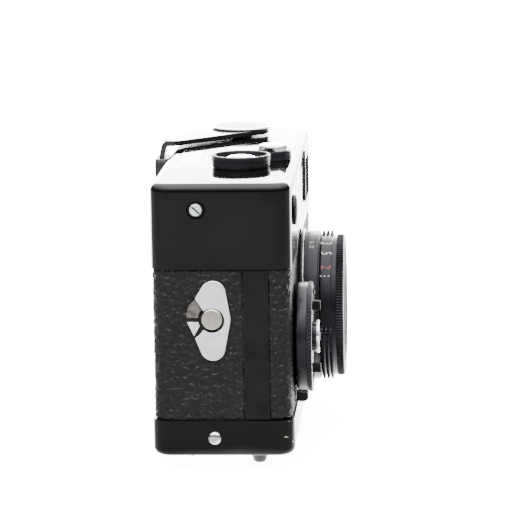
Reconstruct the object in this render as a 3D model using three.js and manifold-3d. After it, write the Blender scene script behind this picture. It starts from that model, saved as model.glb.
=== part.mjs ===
// A pocket 35 mm viewfinder camera with a collapsible lens, built as the separate pieces it is assembled from.
// Millimetres. +X runs along the camera to its finder end, the lens looks along -Y and +Z is up.
// The pieces are laid out from the middle of the base pan's underside, and the finished camera is
// then set down with the middle of its own box over the origin and its lowest point at height zero.

import * as THREE from 'three';
import { mergeVertices } from 'three/addons/utils/BufferGeometryUtils.js';
import Module from 'manifold-3d';

const wasm = await Module();
wasm.setup();

// ---------- driving dimensions ----------

const halfLength = 48.5;
const bodyHeight = 60.4;
const coverBase = 41.6;
const coverHalfDepth = 15.4;
const coverWall = 1.0;
const panTop = 8.05;
const panHalfDepth = 15.6;
const panWall = 1.0;
const cornerRadius = 4.0;
const topEdgeRadius = 1.8;
const panEdgeRadius = 1.7;
const fit = 0.05;

const skinHalfLength = 48.3;
const skinHalfDepth = 15.25;
const skinThickness = 0.5;
const sheetHalfLength = 47.75;
const sheetHalfDepth = 14.7;
const sheetThickness = 0.9;
const backSplit = -4.65;
const railFront = -10.45;

const frameHalfLength = 46.6;
const frameFront = -13.0;
const frameBack = 11.5;
const frameBottom = 2.0;
const frameTop = 48.0;
const frameWall = 1.2;
const chamberInner = 19.6;
const gateBack = 9.6;
const gateFront = 8.0;
const gateWidth = 36;
const gateHeight = 24;

const lensHeight = 24.8;
const tubeRadius = 14.6;
const tubeBore = 13.6;
const mountRadius = 17.9;
const scaleRingRadius = 17.3;
const focusRingRadius = 17.1;
const focusFront = 25.5;
const lensHole = 16.3;

const dialSpacing = 30.4;
const dialHeight = 23.3;
const dialRadius = 12.3;
const dialBack = 15.9;
const dialFront = 19.3;
const insetRadius = 9.8;

const releaseAt = [-21.3, -3.05];
const lensReleaseAt = [-9.5, -9.7];
const leverAt = [36, 0.5];
const leverTipAt = [14.5, 15.0];
const sprocketAt = [25.2, 4.4];
const meshAlong = leverAt[0] - sprocketAt[0];
const meshAcross = sprocketAt[1] - leverAt[1];
const gearLow = 48.4;
const gearHigh = 49.6;
const shaftTeeth = 22;
const shaftPitchRadius = 6.83;
const sprocketTeeth = 15;
const sprocketPitchRadius = 4.65;
const toothRoot = 0.62;
const toothTip = 0.42;
const meterAt = [11, 9.5];
const meterWindow = { left: -13, right: 8, front: 6.9, back: 12.2 };
const finderCentre = [24, 51.5];
const cellAt = [-36.3, 52.9];
const sideScrewAt = [5.2, 54.7];

const rewindAt = [-33.2, 1.1];
const crankPivotAt = [-39.6, 7.4];
const crankKnobAt = [-39.0, -7.4];
const crankPivotHeight = -1.15;
const crankPlateLow = -1.3;
const crankPlateHigh = -0.7;
const crankBarrelHalf = 1.6;
const crankBarrelRadius = 0.5;
const rewindDiscLow = -0.6;
const tripodAt = [25.5, 0];
const lockAt = [40, 0];
const counterAt = [16.5, 8.2];

// ---------- materials ----------

function finish(color, roughness, metalness) {
  return new THREE.MeshStandardMaterial({ color, roughness, metalness });
}

const enamel = finish(0x0b0b0c, 0.25, 0.1);
const leather = finish(0x161616, 0.8, 0.0);
const blackMetal = finish(0x121213, 0.45, 0.4);
const mattBlack = finish(0x0c0c0c, 0.85, 0.1);
const castAlloy = finish(0x55575a, 0.6, 0.8);
const chrome = finish(0xd9dadc, 0.15, 1.0);
const satinSteel = finish(0xb9bcc0, 0.35, 1.0);
const brass = finish(0xb08d4a, 0.4, 1.0);
const blackPlastic = finish(0x141414, 0.5, 0.0);
const clearGlass = finish(0x9fb0b8, 0.05, 0.0);
const coatedGlass = finish(0x3a2a55, 0.05, 0.1);
const whitePrint = finish(0xe8e6df, 0.7, 0.0);
const needleRed = finish(0xc0392b, 0.6, 0.0);

// ---------- making and cutting solids ----------

function solidOf(geometry) {
  const bare = geometry.clone();
  bare.deleteAttribute('normal');
  bare.deleteAttribute('uv');
  const merged = mergeVertices(bare, 1e-4);
  return new wasm.Manifold(new wasm.Mesh({
    numProp: 3,
    vertProperties: new Float32Array(merged.attributes.position.array),
    triVerts: new Uint32Array(merged.index.array),
  }));
}

function geometryOf(solid) {
  const mesh = solid.getMesh();
  const geometry = new THREE.BufferGeometry();
  geometry.setAttribute('position', new THREE.BufferAttribute(new Float32Array(mesh.vertProperties), 3));
  geometry.setIndex(new THREE.BufferAttribute(new Uint32Array(mesh.triVerts), 1));
  geometry.computeVertexNormals();
  return geometry;
}

function join(first, ...others) {
  return geometryOf(others.reduce((sum, other) => sum.add(solidOf(other)), solidOf(first)));
}

function cut(first, ...others) {
  return geometryOf(others.reduce((rest, other) => rest.subtract(solidOf(other)), solidOf(first)));
}

function overlapOf(first, second) {
  return geometryOf(solidOf(first).intersect(solidOf(second)));
}

// ---------- basic forms ----------

function block(low, high) {
  const size = high.map((value, axis) => value - low[axis]);
  const centre = high.map((value, axis) => (value + low[axis]) / 2);
  return new THREE.BoxGeometry(...size).translate(...centre);
}

function roundedOutline(halfX, halfY, radius) {
  const shape = new THREE.Shape();
  shape.absarc(halfX - radius, halfY - radius, radius, 0, Math.PI / 2);
  shape.absarc(radius - halfX, halfY - radius, radius, Math.PI / 2, Math.PI);
  shape.absarc(radius - halfX, radius - halfY, radius, Math.PI, 1.5 * Math.PI);
  shape.absarc(halfX - radius, radius - halfY, radius, 1.5 * Math.PI, 2 * Math.PI);
  return shape;
}

function prism(shape, low, high, curveSegments = 4) {
  return new THREE.ExtrudeGeometry(shape, { depth: high - low, bevelEnabled: false, curveSegments })
    .translate(0, 0, low);
}

function softPrism(shape, low, high, edge, bevelSegments = 2, curveSegments = 4) {
  return new THREE.ExtrudeGeometry(shape, {
    depth: high - low - 2 * edge,
    bevelEnabled: true,
    bevelThickness: edge,
    bevelSize: edge,
    bevelOffset: -edge,
    bevelSegments,
    curveSegments,
  }).translate(0, 0, low + edge);
}

// A solid of revolution about Z from [radius, height] points, listed counter-clockwise.
function turned(profile, segments = 24) {
  const points = profile.map(([radius, height]) => new THREE.Vector2(radius, height));
  return new THREE.LatheGeometry(points, segments).rotateX(Math.PI / 2);
}

function rod(radius, low, high, segments = 16) {
  return turned([[0, low], [radius, low], [radius, high], [0, high]], segments);
}

function ring(inner, outer, low, high, segments = 24) {
  return turned([[inner, low], [outer, low], [outer, high], [inner, high], [inner, low]], segments);
}

function convexOutline(points) {
  const sorted = [...points].sort((a, b) => a[0] - b[0] || a[1] - b[1]);
  const turn = (o, a, b) => (a[0] - o[0]) * (b[1] - o[1]) - (a[1] - o[1]) * (b[0] - o[0]);
  const chain = (list) => {
    const kept = [];
    for (const point of list) {
      while (kept.length > 1 && turn(kept.at(-2), kept.at(-1), point) <= 0) kept.pop();
      kept.push(point);
    }
    return kept.slice(0, -1);
  };
  return [...chain(sorted), ...chain(sorted.reverse())];
}

// The outline stretched round a set of circles given as [x, y, radius].
function circlesOutline(circles, segments = 16) {
  const points = circles.flatMap(([x, y, radius]) => Array.from({ length: segments }, (_, step) => {
    const angle = (2 * Math.PI * step) / segments;
    return [x + radius * Math.cos(angle), y + radius * Math.sin(angle)];
  }));
  return new THREE.Shape(convexOutline(points).map(([x, y]) => new THREE.Vector2(x, y)));
}

// A closed wall following the body's plan outline.
function wallLoop(halfX, halfY, thickness, low, high) {
  const outer = prism(roundedOutline(halfX, halfY, cornerRadius), low, high);
  const inner = roundedOutline(halfX - thickness, halfY - thickness, cornerRadius - thickness);
  return cut(outer, prism(inner, low - 1, high + 1));
}

function halfSpace(fromY, toY) {
  return block([-60, fromY, -10], [60, toY, 70]);
}

// Forms that lie along Y or X are made along Z and turned.
function alongFront(geometry, x = 0, height = 0) {
  return geometry.rotateX(Math.PI / 2).translate(x, 0, height);
}

function alongSide(geometry, y, height, side) {
  return geometry.rotateY((side * Math.PI) / 2).translate(0, y, height);
}

function toothedWheel(teeth, pitchRadius, low, high, phase = 0) {
  const toothPitch = (2 * Math.PI) / teeth;
  const root = pitchRadius - toothRoot;
  const tip = pitchRadius + toothTip;
  const corners = [[-0.3, root], [-0.13, tip], [0.13, tip], [0.3, root]];
  const points = Array.from({ length: teeth }, (_, tooth) => corners.map(([part, radius]) => {
    const angle = phase + (tooth + part) * toothPitch;
    return new THREE.Vector2(radius * Math.cos(angle), radius * Math.sin(angle));
  })).flat();
  return prism(new THREE.Shape(points), low, high);
}

// ---------- assembly ----------

const camera = new THREE.Group();
const front = new THREE.Group();
front.rotation.x = Math.PI / 2;
camera.add(front);

function add(parent, name, material, geometry, position = [0, 0, 0]) {
  const mesh = new THREE.Mesh(geometry, material);
  mesh.name = name;
  mesh.position.set(...position);
  parent.add(mesh);
}

// ---------- chassis: film chambers, film gate and lens chamber in one casting ----------

function chassis() {
  const plan = roundedOutline(frameHalfLength, (frameBack - frameFront) / 2, 2.6);
  const body = prism(plan, frameBottom, frameTop, 4).translate(0, (frameBack + frameFront) / 2, 0);
  const chamberFront = frameFront + frameWall;
  const chamberEnd = frameHalfLength - frameWall;
  const chamberLow = frameBottom + frameWall;
  const chamberHigh = frameTop - frameWall;
  const cassetteChamber = block([-chamberEnd, chamberFront, chamberLow], [-chamberInner, 20, chamberHigh]);
  const spoolChamber = block([chamberInner, chamberFront, chamberLow], [chamberEnd, 20, chamberHigh]);
  const lensChamberHalf = chamberInner - frameWall;
  const lensChamber = block([-lensChamberHalf, chamberFront, 5], [lensChamberHalf, gateFront, 44.6]);
  const filmPath = block([-chamberInner - 1, gateBack, chamberLow], [chamberInner + 1, 20, chamberHigh]);
  const gate = block(
    [-gateWidth / 2, gateFront - 1, lensHeight - gateHeight / 2],
    [gateWidth / 2, gateBack + 1, lensHeight + gateHeight / 2],
  );
  const lensOpening = alongFront(rod(lensHole, 10, 16, 28), 0, lensHeight);
  const dialOpenings = [-dialSpacing, dialSpacing].map((x) => alongFront(rod(2.8, 11, 15, 16), x, dialHeight));
  const forkHole = rod(2.2, 0, 6, 16).translate(rewindAt[0], rewindAt[1], 0);
  const spoolHoles = [[1, 5], [45, 50]].map(([low, high]) => (
    rod(1.6, low, high, 16).translate(leverAt[0], leverAt[1], 0)));
  const sprocketHoles = [[1, 5], [45, 50]].map(([low, high]) => (
    rod(1.6, low, high, 16).translate(sprocketAt[0], sprocketAt[1], 0)));
  return cut(
    body, cassetteChamber, spoolChamber, lensChamber, filmPath, gate, lensOpening,
    ...dialOpenings, forkHole, ...spoolHoles, ...sprocketHoles,
  );
}

add(camera, 'chassis', castAlloy, chassis());

// ---------- outer shells ----------

function topCover() {
  const shell = cut(
    softPrism(roundedOutline(halfLength, coverHalfDepth, cornerRadius), coverBase - 5, bodyHeight, topEdgeRadius),
    block([-60, -30, 20], [60, 30, coverBase]),
    prism(
      roundedOutline(halfLength - coverWall, coverHalfDepth - coverWall, cornerRadius - coverWall),
      20, bodyHeight - coverWall,
    ),
  );
  const [finderX, finderZ] = finderCentre;
  const finderOpening = block([finderX - 7.5, -17, finderZ - 5], [finderX + 7.5, -13, finderZ + 5]);
  const eyepieceOpening = block([finderX - 4.5, 13, finderZ - 3.2], [finderX + 4.5, 17, finderZ + 3.2]);
  const cellOpening = alongFront(rod(2.7, 13, 17, 14), cellAt[0], cellAt[1]);
  const releaseOpening = rod(3.8, 58, 62, 16).translate(releaseAt[0], releaseAt[1], 0);
  const lensReleaseOpening = rod(1.8, 58, 62, 16).translate(lensReleaseAt[0], lensReleaseAt[1], 0);
  const leverOpening = rod(2.8, 58, 62, 14).translate(leverAt[0], leverAt[1], 0);
  const windowOpening = block(
    [meterWindow.left, meterWindow.front, 58],
    [meterWindow.right, meterWindow.back, 62],
  );
  const screwOpenings = [-1, 1].flatMap((side) => [
    alongSide(rod(1.1, 46, 50, 16), sideScrewAt[0], sideScrewAt[1], side),
    alongSide(rod(2.0, halfLength - 0.5, 50, 14), sideScrewAt[0], sideScrewAt[1], side),
  ]);
  return cut(
    shell, finderOpening, eyepieceOpening, cellOpening, releaseOpening, lensReleaseOpening,
    leverOpening, windowOpening, ...screwOpenings,
  );
}

function frontPanel() {
  const low = panTop + 0.3;
  const high = coverBase - 0.2;
  const wall = overlapOf(
    wallLoop(sheetHalfLength, sheetHalfDepth, sheetThickness, low, high),
    halfSpace(-20, backSplit - 0.3),
  );
  const rails = [-1, 1].map((side) => {
    const inner = side * (sheetHalfLength - 0.4);
    const outer = side * (skinHalfLength - 0.05);
    return block(
      [Math.min(inner, outer), railFront + 0.1, low],
      [Math.max(inner, outer), backSplit - 0.3, high],
    );
  });
  const lensOpening = alongFront(rod(lensHole, 10, 18, 28), 0, lensHeight);
  const dialOpenings = [-dialSpacing, dialSpacing].map((x) => alongFront(rod(2.8, 11, 18, 16), x, dialHeight));
  return cut(join(wall, ...rails), lensOpening, ...dialOpenings);
}

function skin(fromY, toY) {
  return overlapOf(
    wallLoop(skinHalfLength, skinHalfDepth, skinThickness, panTop + 0.35, coverBase - 0.2),
    halfSpace(fromY, toY),
  );
}

function frontLeatherette() {
  const lensOpening = alongFront(rod(mountRadius - 1.4, 10, 18, 28), 0, lensHeight);
  const dialOpenings = [-dialSpacing, dialSpacing].map((x) => alongFront(rod(3.2, 11, 18, 16), x, dialHeight));
  return cut(skin(-20, railFront), lensOpening, ...dialOpenings);
}

function backShell() {
  return overlapOf(
    wallLoop(sheetHalfLength, sheetHalfDepth, sheetThickness, panTop + fit, coverBase - 0.2),
    halfSpace(backSplit, 20),
  );
}

function basePan() {
  const tub = cut(
    softPrism(roundedOutline(halfLength, panHalfDepth, cornerRadius), 0, panTop + 5, panEdgeRadius),
    block([-60, -30, panTop], [60, 30, 30]),
    prism(
      roundedOutline(halfLength - panWall, panHalfDepth - panWall, cornerRadius - panWall),
      panWall, 20,
    ),
  );
  const holes = [[rewindAt, 2.3], [tripodAt, 4.3], [lockAt, 2.0], [counterAt, 2.9]].map(([[x, y], radius]) => (
    rod(radius, -3, 3, 16).translate(x, y, 0)));
  const studHole = alongSide(rod(0.9, 46, 50, 12), 1.8, 4.26, -1);
  return cut(tub, ...holes, studHole);
}

add(camera, 'top_cover', enamel, topCover());
add(camera, 'front_panel', mattBlack, frontPanel());
add(camera, 'front_leatherette', leather, frontLeatherette());
add(camera, 'back_shell', mattBlack, backShell());
add(camera, 'back_leatherette', leather, skin(backSplit, 20));
add(camera, 'base_pan', enamel, basePan());

// ---------- side screws, strap socket and case stud ----------

function sideScrew(side) {
  const head = rod(1.35, halfLength - 0.45, halfLength - 0.1, 16);
  const shank = rod(0.8, 45.6, halfLength - 0.3, 12);
  const slot = block([-2, -0.2, halfLength - 0.28], [2, 0.2, 50]).rotateZ(-0.7);
  return alongSide(cut(join(head, shank), slot), sideScrewAt[0], sideScrewAt[1], side);
}

add(camera, 'side_screw_cassette_end', chrome, sideScrew(-1));
add(camera, 'side_screw_finder_end', chrome, sideScrew(1));

const strapAt = [2.0, 30.8];
const plateInner = skinHalfLength + fit;
const plateOuter = 49.0;
const strapHoleRadius = 2.75;
const strapSlotHalf = 0.45;

// Drawn flat with its height along X, then stood against the cassette end.
function strapPlate() {
  const outline = circlesOutline([
    [36.45, 1.75, 2.75], [24.4, 2.0, 2.75], [30.5, 1.1, 3.0], [30.7, 5.2, 2.6],
  ]);
  const [across, height] = strapAt;
  const plate = prism(outline, plateInner, plateOuter, 8);
  const keyhole = rod(strapHoleRadius, 40, 60, 16).translate(height, across, 0);
  const slot = block([height - strapSlotHalf, across, 40], [height + strapSlotHalf, 12, 60]);
  return alongSide(cut(plate, keyhole, slot), 0, 0, -1);
}

add(camera, 'strap_plate', satinSteel, strapPlate());
add(camera, 'strap_stud', satinSteel, alongSide(
  turned([[0, plateInner], [1.5, plateInner], [1.5, 48.9], [2.15, 49.0], [2.15, 49.3], [1.8, 49.45], [0, 49.5]], 16),
  strapAt[0], strapAt[1], -1,
));
for (const [name, y, z] of [['strap_rivet_upper', 1.7, 36.45], ['strap_rivet_lower', 1.9, 24.3]]) {
  add(camera, name, satinSteel, alongSide(rod(1.5, plateOuter + fit, plateOuter + 0.2, 14), y, z, -1));
}
add(camera, 'case_stud', chrome, alongSide(turned([
  [0, 46.9], [0.75, 46.9], [0.75, halfLength + fit], [1.5, halfLength + fit], [1.45, 49.0], [1.0, 49.4], [0, 49.55],
], 14), 1.8, 4.26, -1));

// ---------- top plate: release, lens release, meter window ----------

const collarTop = bodyHeight + 2.36;
add(camera, 'release_collar', blackMetal, turned([
  [3.8, bodyHeight + fit], [6.37, bodyHeight + fit], [6.37, collarTop - 0.2], [6.2, collarTop],
  [5.75, collarTop], [5.6, collarTop - 0.3], [5.6, bodyHeight + 0.5], [3.8, bodyHeight + 0.5],
  [3.8, bodyHeight + fit],
], 28), [releaseAt[0], releaseAt[1], 0]);
add(camera, 'release_button', blackMetal, turned([
  [0, 50.5], [1.2, 50.5], [1.2, 58.4], [3.5, 58.4], [3.5, 61.9], [3.1, 62.3], [1.8, 62.55], [0, 62.65],
], 16), [releaseAt[0], releaseAt[1], 0]);
add(camera, 'lens_release_collar', blackMetal, turned([
  [3.6, bodyHeight + fit], [4.0, bodyHeight + fit], [4.0, 62.3], [3.9, 62.5], [3.6, 62.5],
  [3.6, bodyHeight + fit],
], 20), [lensReleaseAt[0], lensReleaseAt[1], 0]);
add(camera, 'lens_release_button', chrome, turned([
  [0, 55], [1.4, 55], [1.4, 61.7], [3.4, 61.7], [3.4, 63.6], [3.15, 63.85], [0, 63.9],
], 20), [lensReleaseAt[0], lensReleaseAt[1], 0]);
add(camera, 'meter_window', clearGlass, block(
  [meterWindow.left + 0.1, meterWindow.front + 0.1, 59.5],
  [meterWindow.right - 0.1, meterWindow.back - 0.1, bodyHeight],
));

// ---------- light meter and battery ----------

add(camera, 'meter_movement', brass, rod(4.5, 49.2, 56.2, 16), [meterAt[0], meterAt[1], 0]);

function pointer(length, low, high, tipWidth) {
  const outline = circlesOutline([[0, 0, 1.3], [-length, 0, tipWidth]], 12);
  return prism(outline, low, high);
}

add(camera, 'meter_needle', needleRed, pointer(18, 56.9, 57.2, 0.25), [meterAt[0], meterAt[1], 0]);
add(camera, 'match_pointer', whitePrint, pointer(15.5, 57.9, 58.2, 0.6), [meterAt[0], meterAt[1], 0]);
add(camera, 'battery', satinSteel, rod(7.8, 48.3, 54.3, 20), [-38, 3.5, 0]);
const cellPlace = [cellAt[0], cellAt[1], 0];
add(front, 'meter_cell_ring', blackMetal, turned([
  [1.9, 14.0], [2.4, 14.0], [2.4, coverHalfDepth + fit], [3.35, coverHalfDepth + fit], [3.35, 16.0], [3.15, 16.2],
  [2.5, 16.2], [2.3, 15.9], [1.9, 15.9], [1.9, 14.0],
], 16), cellPlace);
add(front, 'meter_cell_window', clearGlass, rod(1.6, 14.4, 15.8, 16), cellPlace);

// ---------- viewfinder ----------

function finderTunnel() {
  const [x, z] = finderCentre;
  const outer = block([x - 7.9, -13.6, z - 1.2], [x + 7.9, 13.4, z + 6.4]);
  const inner = block([x - 7.0, -20, z - 0.5], [x + 7.0, 20, z + 5.6]);
  return cut(outer, inner);
}

function framedGlass(halfWidth, halfHeight, low, high, edge) {
  return softPrism(roundedOutline(halfWidth, halfHeight, 1.0), low, high, edge, 1, 3);
}

add(camera, 'finder_tunnel', mattBlack, finderTunnel());
add(front, 'finder_front_window', clearGlass, framedGlass(7.3, 4.8, 14.3, 15.5, 0.2), [...finderCentre, 0]);
add(front, 'finder_eyepiece', clearGlass, framedGlass(4.3, 3.0, -15.6, -14.3, 0.2), [...finderCentre, 0]);

// ---------- film advance ----------

const leverPlace = [leverAt[0], leverAt[1], 0];

function advanceArm() {
  const reach = [leverTipAt[0] - leverAt[0], leverTipAt[1] - leverAt[1]];
  const outline = circlesOutline([[0, 0, 6.6], [...reach, 2.4]], 28);
  const plate = prism(outline, bodyHeight + 0.6, bodyHeight + 1.5);
  const bend = block([reach[0] - 2.4, reach[1] - 0.5, bodyHeight + 0.6], [reach[0] + 2.4, 17.6, bodyHeight + 1.5]);
  const drop = block([reach[0] - 2.4, 16.7, 59.2], [reach[0] + 2.4, 17.6, bodyHeight + 1.5]);
  return join(plate, bend, drop);
}

function advanceTip() {
  const across = leverTipAt[0] - leverAt[0];
  return softPrism(roundedOutline(4.2, 1.6, 0.8), 53.6, 59.1, 0.6, 2, 3).translate(across, 17.3, 0);
}

add(camera, 'advance_arm', blackMetal, advanceArm(), leverPlace);
add(camera, 'advance_tip', blackPlastic, advanceTip(), leverPlace);
add(camera, 'advance_cap', chrome, turned([
  [0, 61.95], [7.2, 61.95], [7.4, 62.1], [7.4, 62.35], [7.1, 62.5], [0, 62.6],
], 28), leverPlace);
add(camera, 'advance_shaft', satinSteel, join(
  rod(2.4, 48.5, bodyHeight + 0.55, 14),
  toothedWheel(shaftTeeth, shaftPitchRadius, gearLow, gearHigh, Math.atan2(meshAcross, -meshAlong)),
), leverPlace);

function filmSprocket() {
  const body = rod(3.6, 6, 44, 14);
  const rims = [[8.2, 10.2], [39.4, 41.4]].map(([low, high]) => toothedWheel(8, 4.75, low, high));
  const shaft = rod(1.3, 2.4, 49.3, 12);
  const gearPhase = Math.atan2(-meshAcross, meshAlong) + Math.PI / sprocketTeeth;
  return join(body, ...rims, shaft, toothedWheel(sprocketTeeth, sprocketPitchRadius, gearLow, gearHigh, gearPhase));
}

function takeupSpool() {
  const spool = turned([
    [0, 2.5], [1.3, 2.5], [1.3, 4.2], [5.1, 4.2], [5.1, 5.4], [3.6, 6.0],
    [3.6, 44], [5.1, 44.6], [5.1, 45.8], [1.3, 45.8], [1.3, 47.8], [0, 47.8],
  ], 16);
  return cut(spool, block([-0.6, -8, 12], [0.6, 8, 38]));
}

add(camera, 'film_sprocket', satinSteel, filmSprocket(), [sprocketAt[0], sprocketAt[1], 0]);
add(camera, 'takeup_spool', blackPlastic, takeupSpool(), leverPlace);

function pressurePlate() {
  const plate = block([-19.2, 10.2, 7.4], [19.2, 11.0, 42.2]);
  const ribs = [-11, 11].map((x) => block([x - 1.5, 10.8, 9], [x + 1.5, 12.3, 40.6]));
  return join(plate, ...ribs);
}

add(camera, 'pressure_plate', blackMetal, pressurePlate());

// ---------- rewind ----------

// The disc carries the lug beside the handle's hinge barrel.
function rewindDisc() {
  const disc = turned([
    [0, rewindDiscLow], [8.8, rewindDiscLow], [9.0, rewindDiscLow + 0.1], [9.0, -0.2], [8.9, -0.1], [2.0, -0.1],
    [2.0, 1.6], [0, 1.6],
  ], 28);
  const dog = block([-0.5, -3, 1.0], [0.5, 3, 3]);
  const lugX = crankPivotAt[0] - rewindAt[0] + crankBarrelHalf + 0.15;
  const lugY = crankPivotAt[1] - rewindAt[1];
  const lug = block(
    [lugX, lugY - crankBarrelRadius, crankPivotHeight - crankBarrelRadius],
    [lugX + 0.8, lugY + crankBarrelRadius, rewindDiscLow + 0.1],
  );
  return join(cut(disc, dog), lug);
}

function crankHandle() {
  const [pivotX, pivotY] = crankPivotAt;
  const [knobX, knobY] = crankKnobAt;
  const strip = circlesOutline([[pivotX, pivotY, crankBarrelHalf], [knobX, knobY, 2.2]], 16);
  const plate = softPrism(strip, crankPlateLow, crankPlateHigh, 0.15, 1, 1);
  const behindPivot = block([pivotX - 3, pivotY, -4], [pivotX + 3, pivotY + 3, 0]);
  const barrel = rod(crankBarrelRadius, -crankBarrelHalf, crankBarrelHalf, 14)
    .rotateY(Math.PI / 2)
    .translate(pivotX, pivotY, crankPivotHeight);
  return join(cut(plate, behindPivot), barrel);
}

function rewindFork() {
  const stem = rod(1.9, 1.75, 6.4, 16);
  const blade = block([-0.45, -1.6, 6], [0.45, 1.6, 9.4]);
  return join(stem, blade);
}

add(camera, 'rewind_disc', satinSteel, rewindDisc(), [rewindAt[0], rewindAt[1], 0]);
add(camera, 'crank_handle', satinSteel, crankHandle());
add(camera, 'crank_knob', blackPlastic, turned([
  [0, -3.3], [1.1, -3.3], [1.4, -3.0], [1.8, crankPlateLow - 0.3],
  [1.8, crankPlateLow - fit], [0, crankPlateLow - fit],
], 14), [...crankKnobAt, 0]);
add(camera, 'rewind_fork', satinSteel, rewindFork(), [rewindAt[0], rewindAt[1], 0]);

// ---------- underside: tripod socket, back lock, accessory shoe, frame counter ----------

add(camera, 'tripod_socket', satinSteel, turned([
  [3.1, -1.2], [6.2, -1.2], [6.2, -fit], [4.1, -fit], [4.1, 1.8], [3.1, 1.8], [3.1, -1.2],
], 24), [...tripodAt, 0]);

function lockKey() {
  const knob = turned([[0, -0.9], [4.4, -0.9], [4.4, -0.1], [1.7, -0.1], [1.7, 1.8], [0, 1.8]], 16);
  const wing = block([-3.6, -0.7, -2.3], [3.6, 0.7, -0.7]);
  return join(knob, wing);
}

add(camera, 'lock_key', satinSteel, lockKey(), [...lockAt, 0]);

function accessoryShoe() {
  const low = -2.7;
  const base = block([-10.2, -9, -0.6], [10.2, 10, -fit]);
  const walls = [-1, 1].map((side) => block(
    [side * 9.8 - 0.5, -9, low], [side * 9.8 + 0.5, 10, -0.3],
  ));
  const lips = [-1, 1].map((side) => block([side * 8.6 - 1.6, -9, low], [side * 8.6 + 1.6, 10, low + 0.55]));
  return join(base, ...walls, ...lips);
}

add(camera, 'accessory_shoe', satinSteel, accessoryShoe());
add(camera, 'counter_disc', whitePrint, rod(5.2, 1.2, 1.7, 28), [13.5, 8.2, 0]);
add(camera, 'counter_window', clearGlass, rod(2.7, 0.1, 0.8, 14), [...counterAt, 0]);

// ---------- collapsible lens, seen from the front: depth runs along the group's +Z ----------

const lensPlace = [0, lensHeight, 0];

add(front, 'lens_mount', blackMetal, turned([
  [14.95, 11.6], [16.0, 11.6], [16.0, panHalfDepth + fit], [mountRadius, panHalfDepth + fit],
  [mountRadius, 16.1], [mountRadius - 0.15, 16.2], [14.95, 16.2], [14.95, 11.6],
], 28), lensPlace);
add(front, 'tube_carrier', brass, ring(tubeRadius + 0.1, 15.6, -6.2, -4.2, 32), lensPlace);
add(front, 'lens_tube', satinSteel, ring(tubeBore, tubeRadius, -6.6, 20.0, 28), lensPlace);
add(front, 'distance_scale_ring', blackMetal, turned([
  [14.75, 16.4], [scaleRingRadius, 16.4], [scaleRingRadius, 19.75], [scaleRingRadius - 0.15, 19.95],
  [14.75, 19.95], [14.75, 16.4],
], 28), lensPlace);
add(front, 'shutter_housing', blackMetal, turned([
  [6.0, 3.5], [13.3, 3.5], [13.3, 12.0], [6.0, 12.0], [6.0, 3.5],
], 28), lensPlace);
add(front, 'rear_lens', coatedGlass, turned([
  [0, 4.4], [4.2, 4.9], [5.8, 5.6], [5.8, 8.0], [0, 8.0],
], 16), lensPlace);
add(front, 'focus_ring', blackMetal, turned([
  [13.9, 20.2], [17.0, 20.2], [17.4, 20.4], [17.4, 22.6], [focusRingRadius - 0.3, 22.8],
  [focusRingRadius - 0.5, 23.6], [16.7, 23.8], [16.7, focusFront - 0.3], [16.3, focusFront], [14.4, focusFront],
  [13.9, focusFront - 0.6], [13.9, 20.2],
], 28), lensPlace);
add(front, 'lens_cell', blackMetal, turned([
  [8.6, 12.4], [13.2, 12.4], [13.2, 23.9], [10.5, 23.9], [10.5, 19.5], [8.6, 17.5], [8.6, 12.4],
], 28), lensPlace);
add(front, 'front_lens', coatedGlass, turned([
  [0, 20.0], [10.1, 20.0], [10.1, 22.0], [8.4, 23.0], [5.6, 23.8], [2.8, 24.2], [0, 24.3],
], 28), lensPlace);
add(front, 'name_ring', blackMetal, turned([
  [9.0, 24.0], [13.2, 24.0], [13.2, 24.9], [12.6, 25.0], [9.0, 24.4], [9.0, 24.0],
], 28), lensPlace);

// ---------- front dials ----------

function dial() {
  return turned([
    [0, 13.6], [2.4, 13.6], [2.4, dialBack], [dialRadius - 0.3, dialBack], [dialRadius, dialBack + 0.25],
    [dialRadius, dialFront - 0.4], [dialRadius - 0.4, dialFront], [insetRadius + 0.2, dialFront],
    [insetRadius + 0.2, dialFront - 0.8], [0, dialFront - 0.8],
  ], 28);
}

function inset() {
  return turned([
    [0, dialFront - 0.7], [insetRadius, dialFront - 0.7], [insetRadius, dialFront - 0.15],
    [insetRadius - 0.15, dialFront], [0, dialFront],
  ], 28);
}

const aperturePlace = [-dialSpacing, dialHeight, 0];
const speedPlace = [dialSpacing, dialHeight, 0];
add(front, 'aperture_dial', blackMetal, dial(), aperturePlace);
add(front, 'film_speed_disc', satinSteel, inset(), aperturePlace);
add(front, 'shutter_speed_dial', blackMetal, dial(), speedPlace);
add(front, 'film_reminder_disc', satinSteel, inset(), speedPlace);

function apertureLock() {
  const arm = cut(
    prism(circlesOutline([[0, 0, 4.4], [0, -12.6, 1.6]], 14), 15.35, 15.7),
    rod(2.8, 10, 20, 14),
  );
  const tab = block([-1.4, -14.6, 15.4], [1.4, -12.9, 18.0]);
  return join(arm, tab);
}

add(front, 'aperture_lock', blackMetal, apertureLock(), aperturePlace);

// ---------- setting down ----------

camera.updateMatrixWorld(true);
const extent = new THREE.Box3().setFromObject(camera);
const middle = extent.getCenter(new THREE.Vector3());
camera.position.set(-middle.x, -middle.y, -extent.min.z);

export default camera;
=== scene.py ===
import math

import bmesh
import bpy
from mathutils import Matrix, Vector, noise


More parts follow.
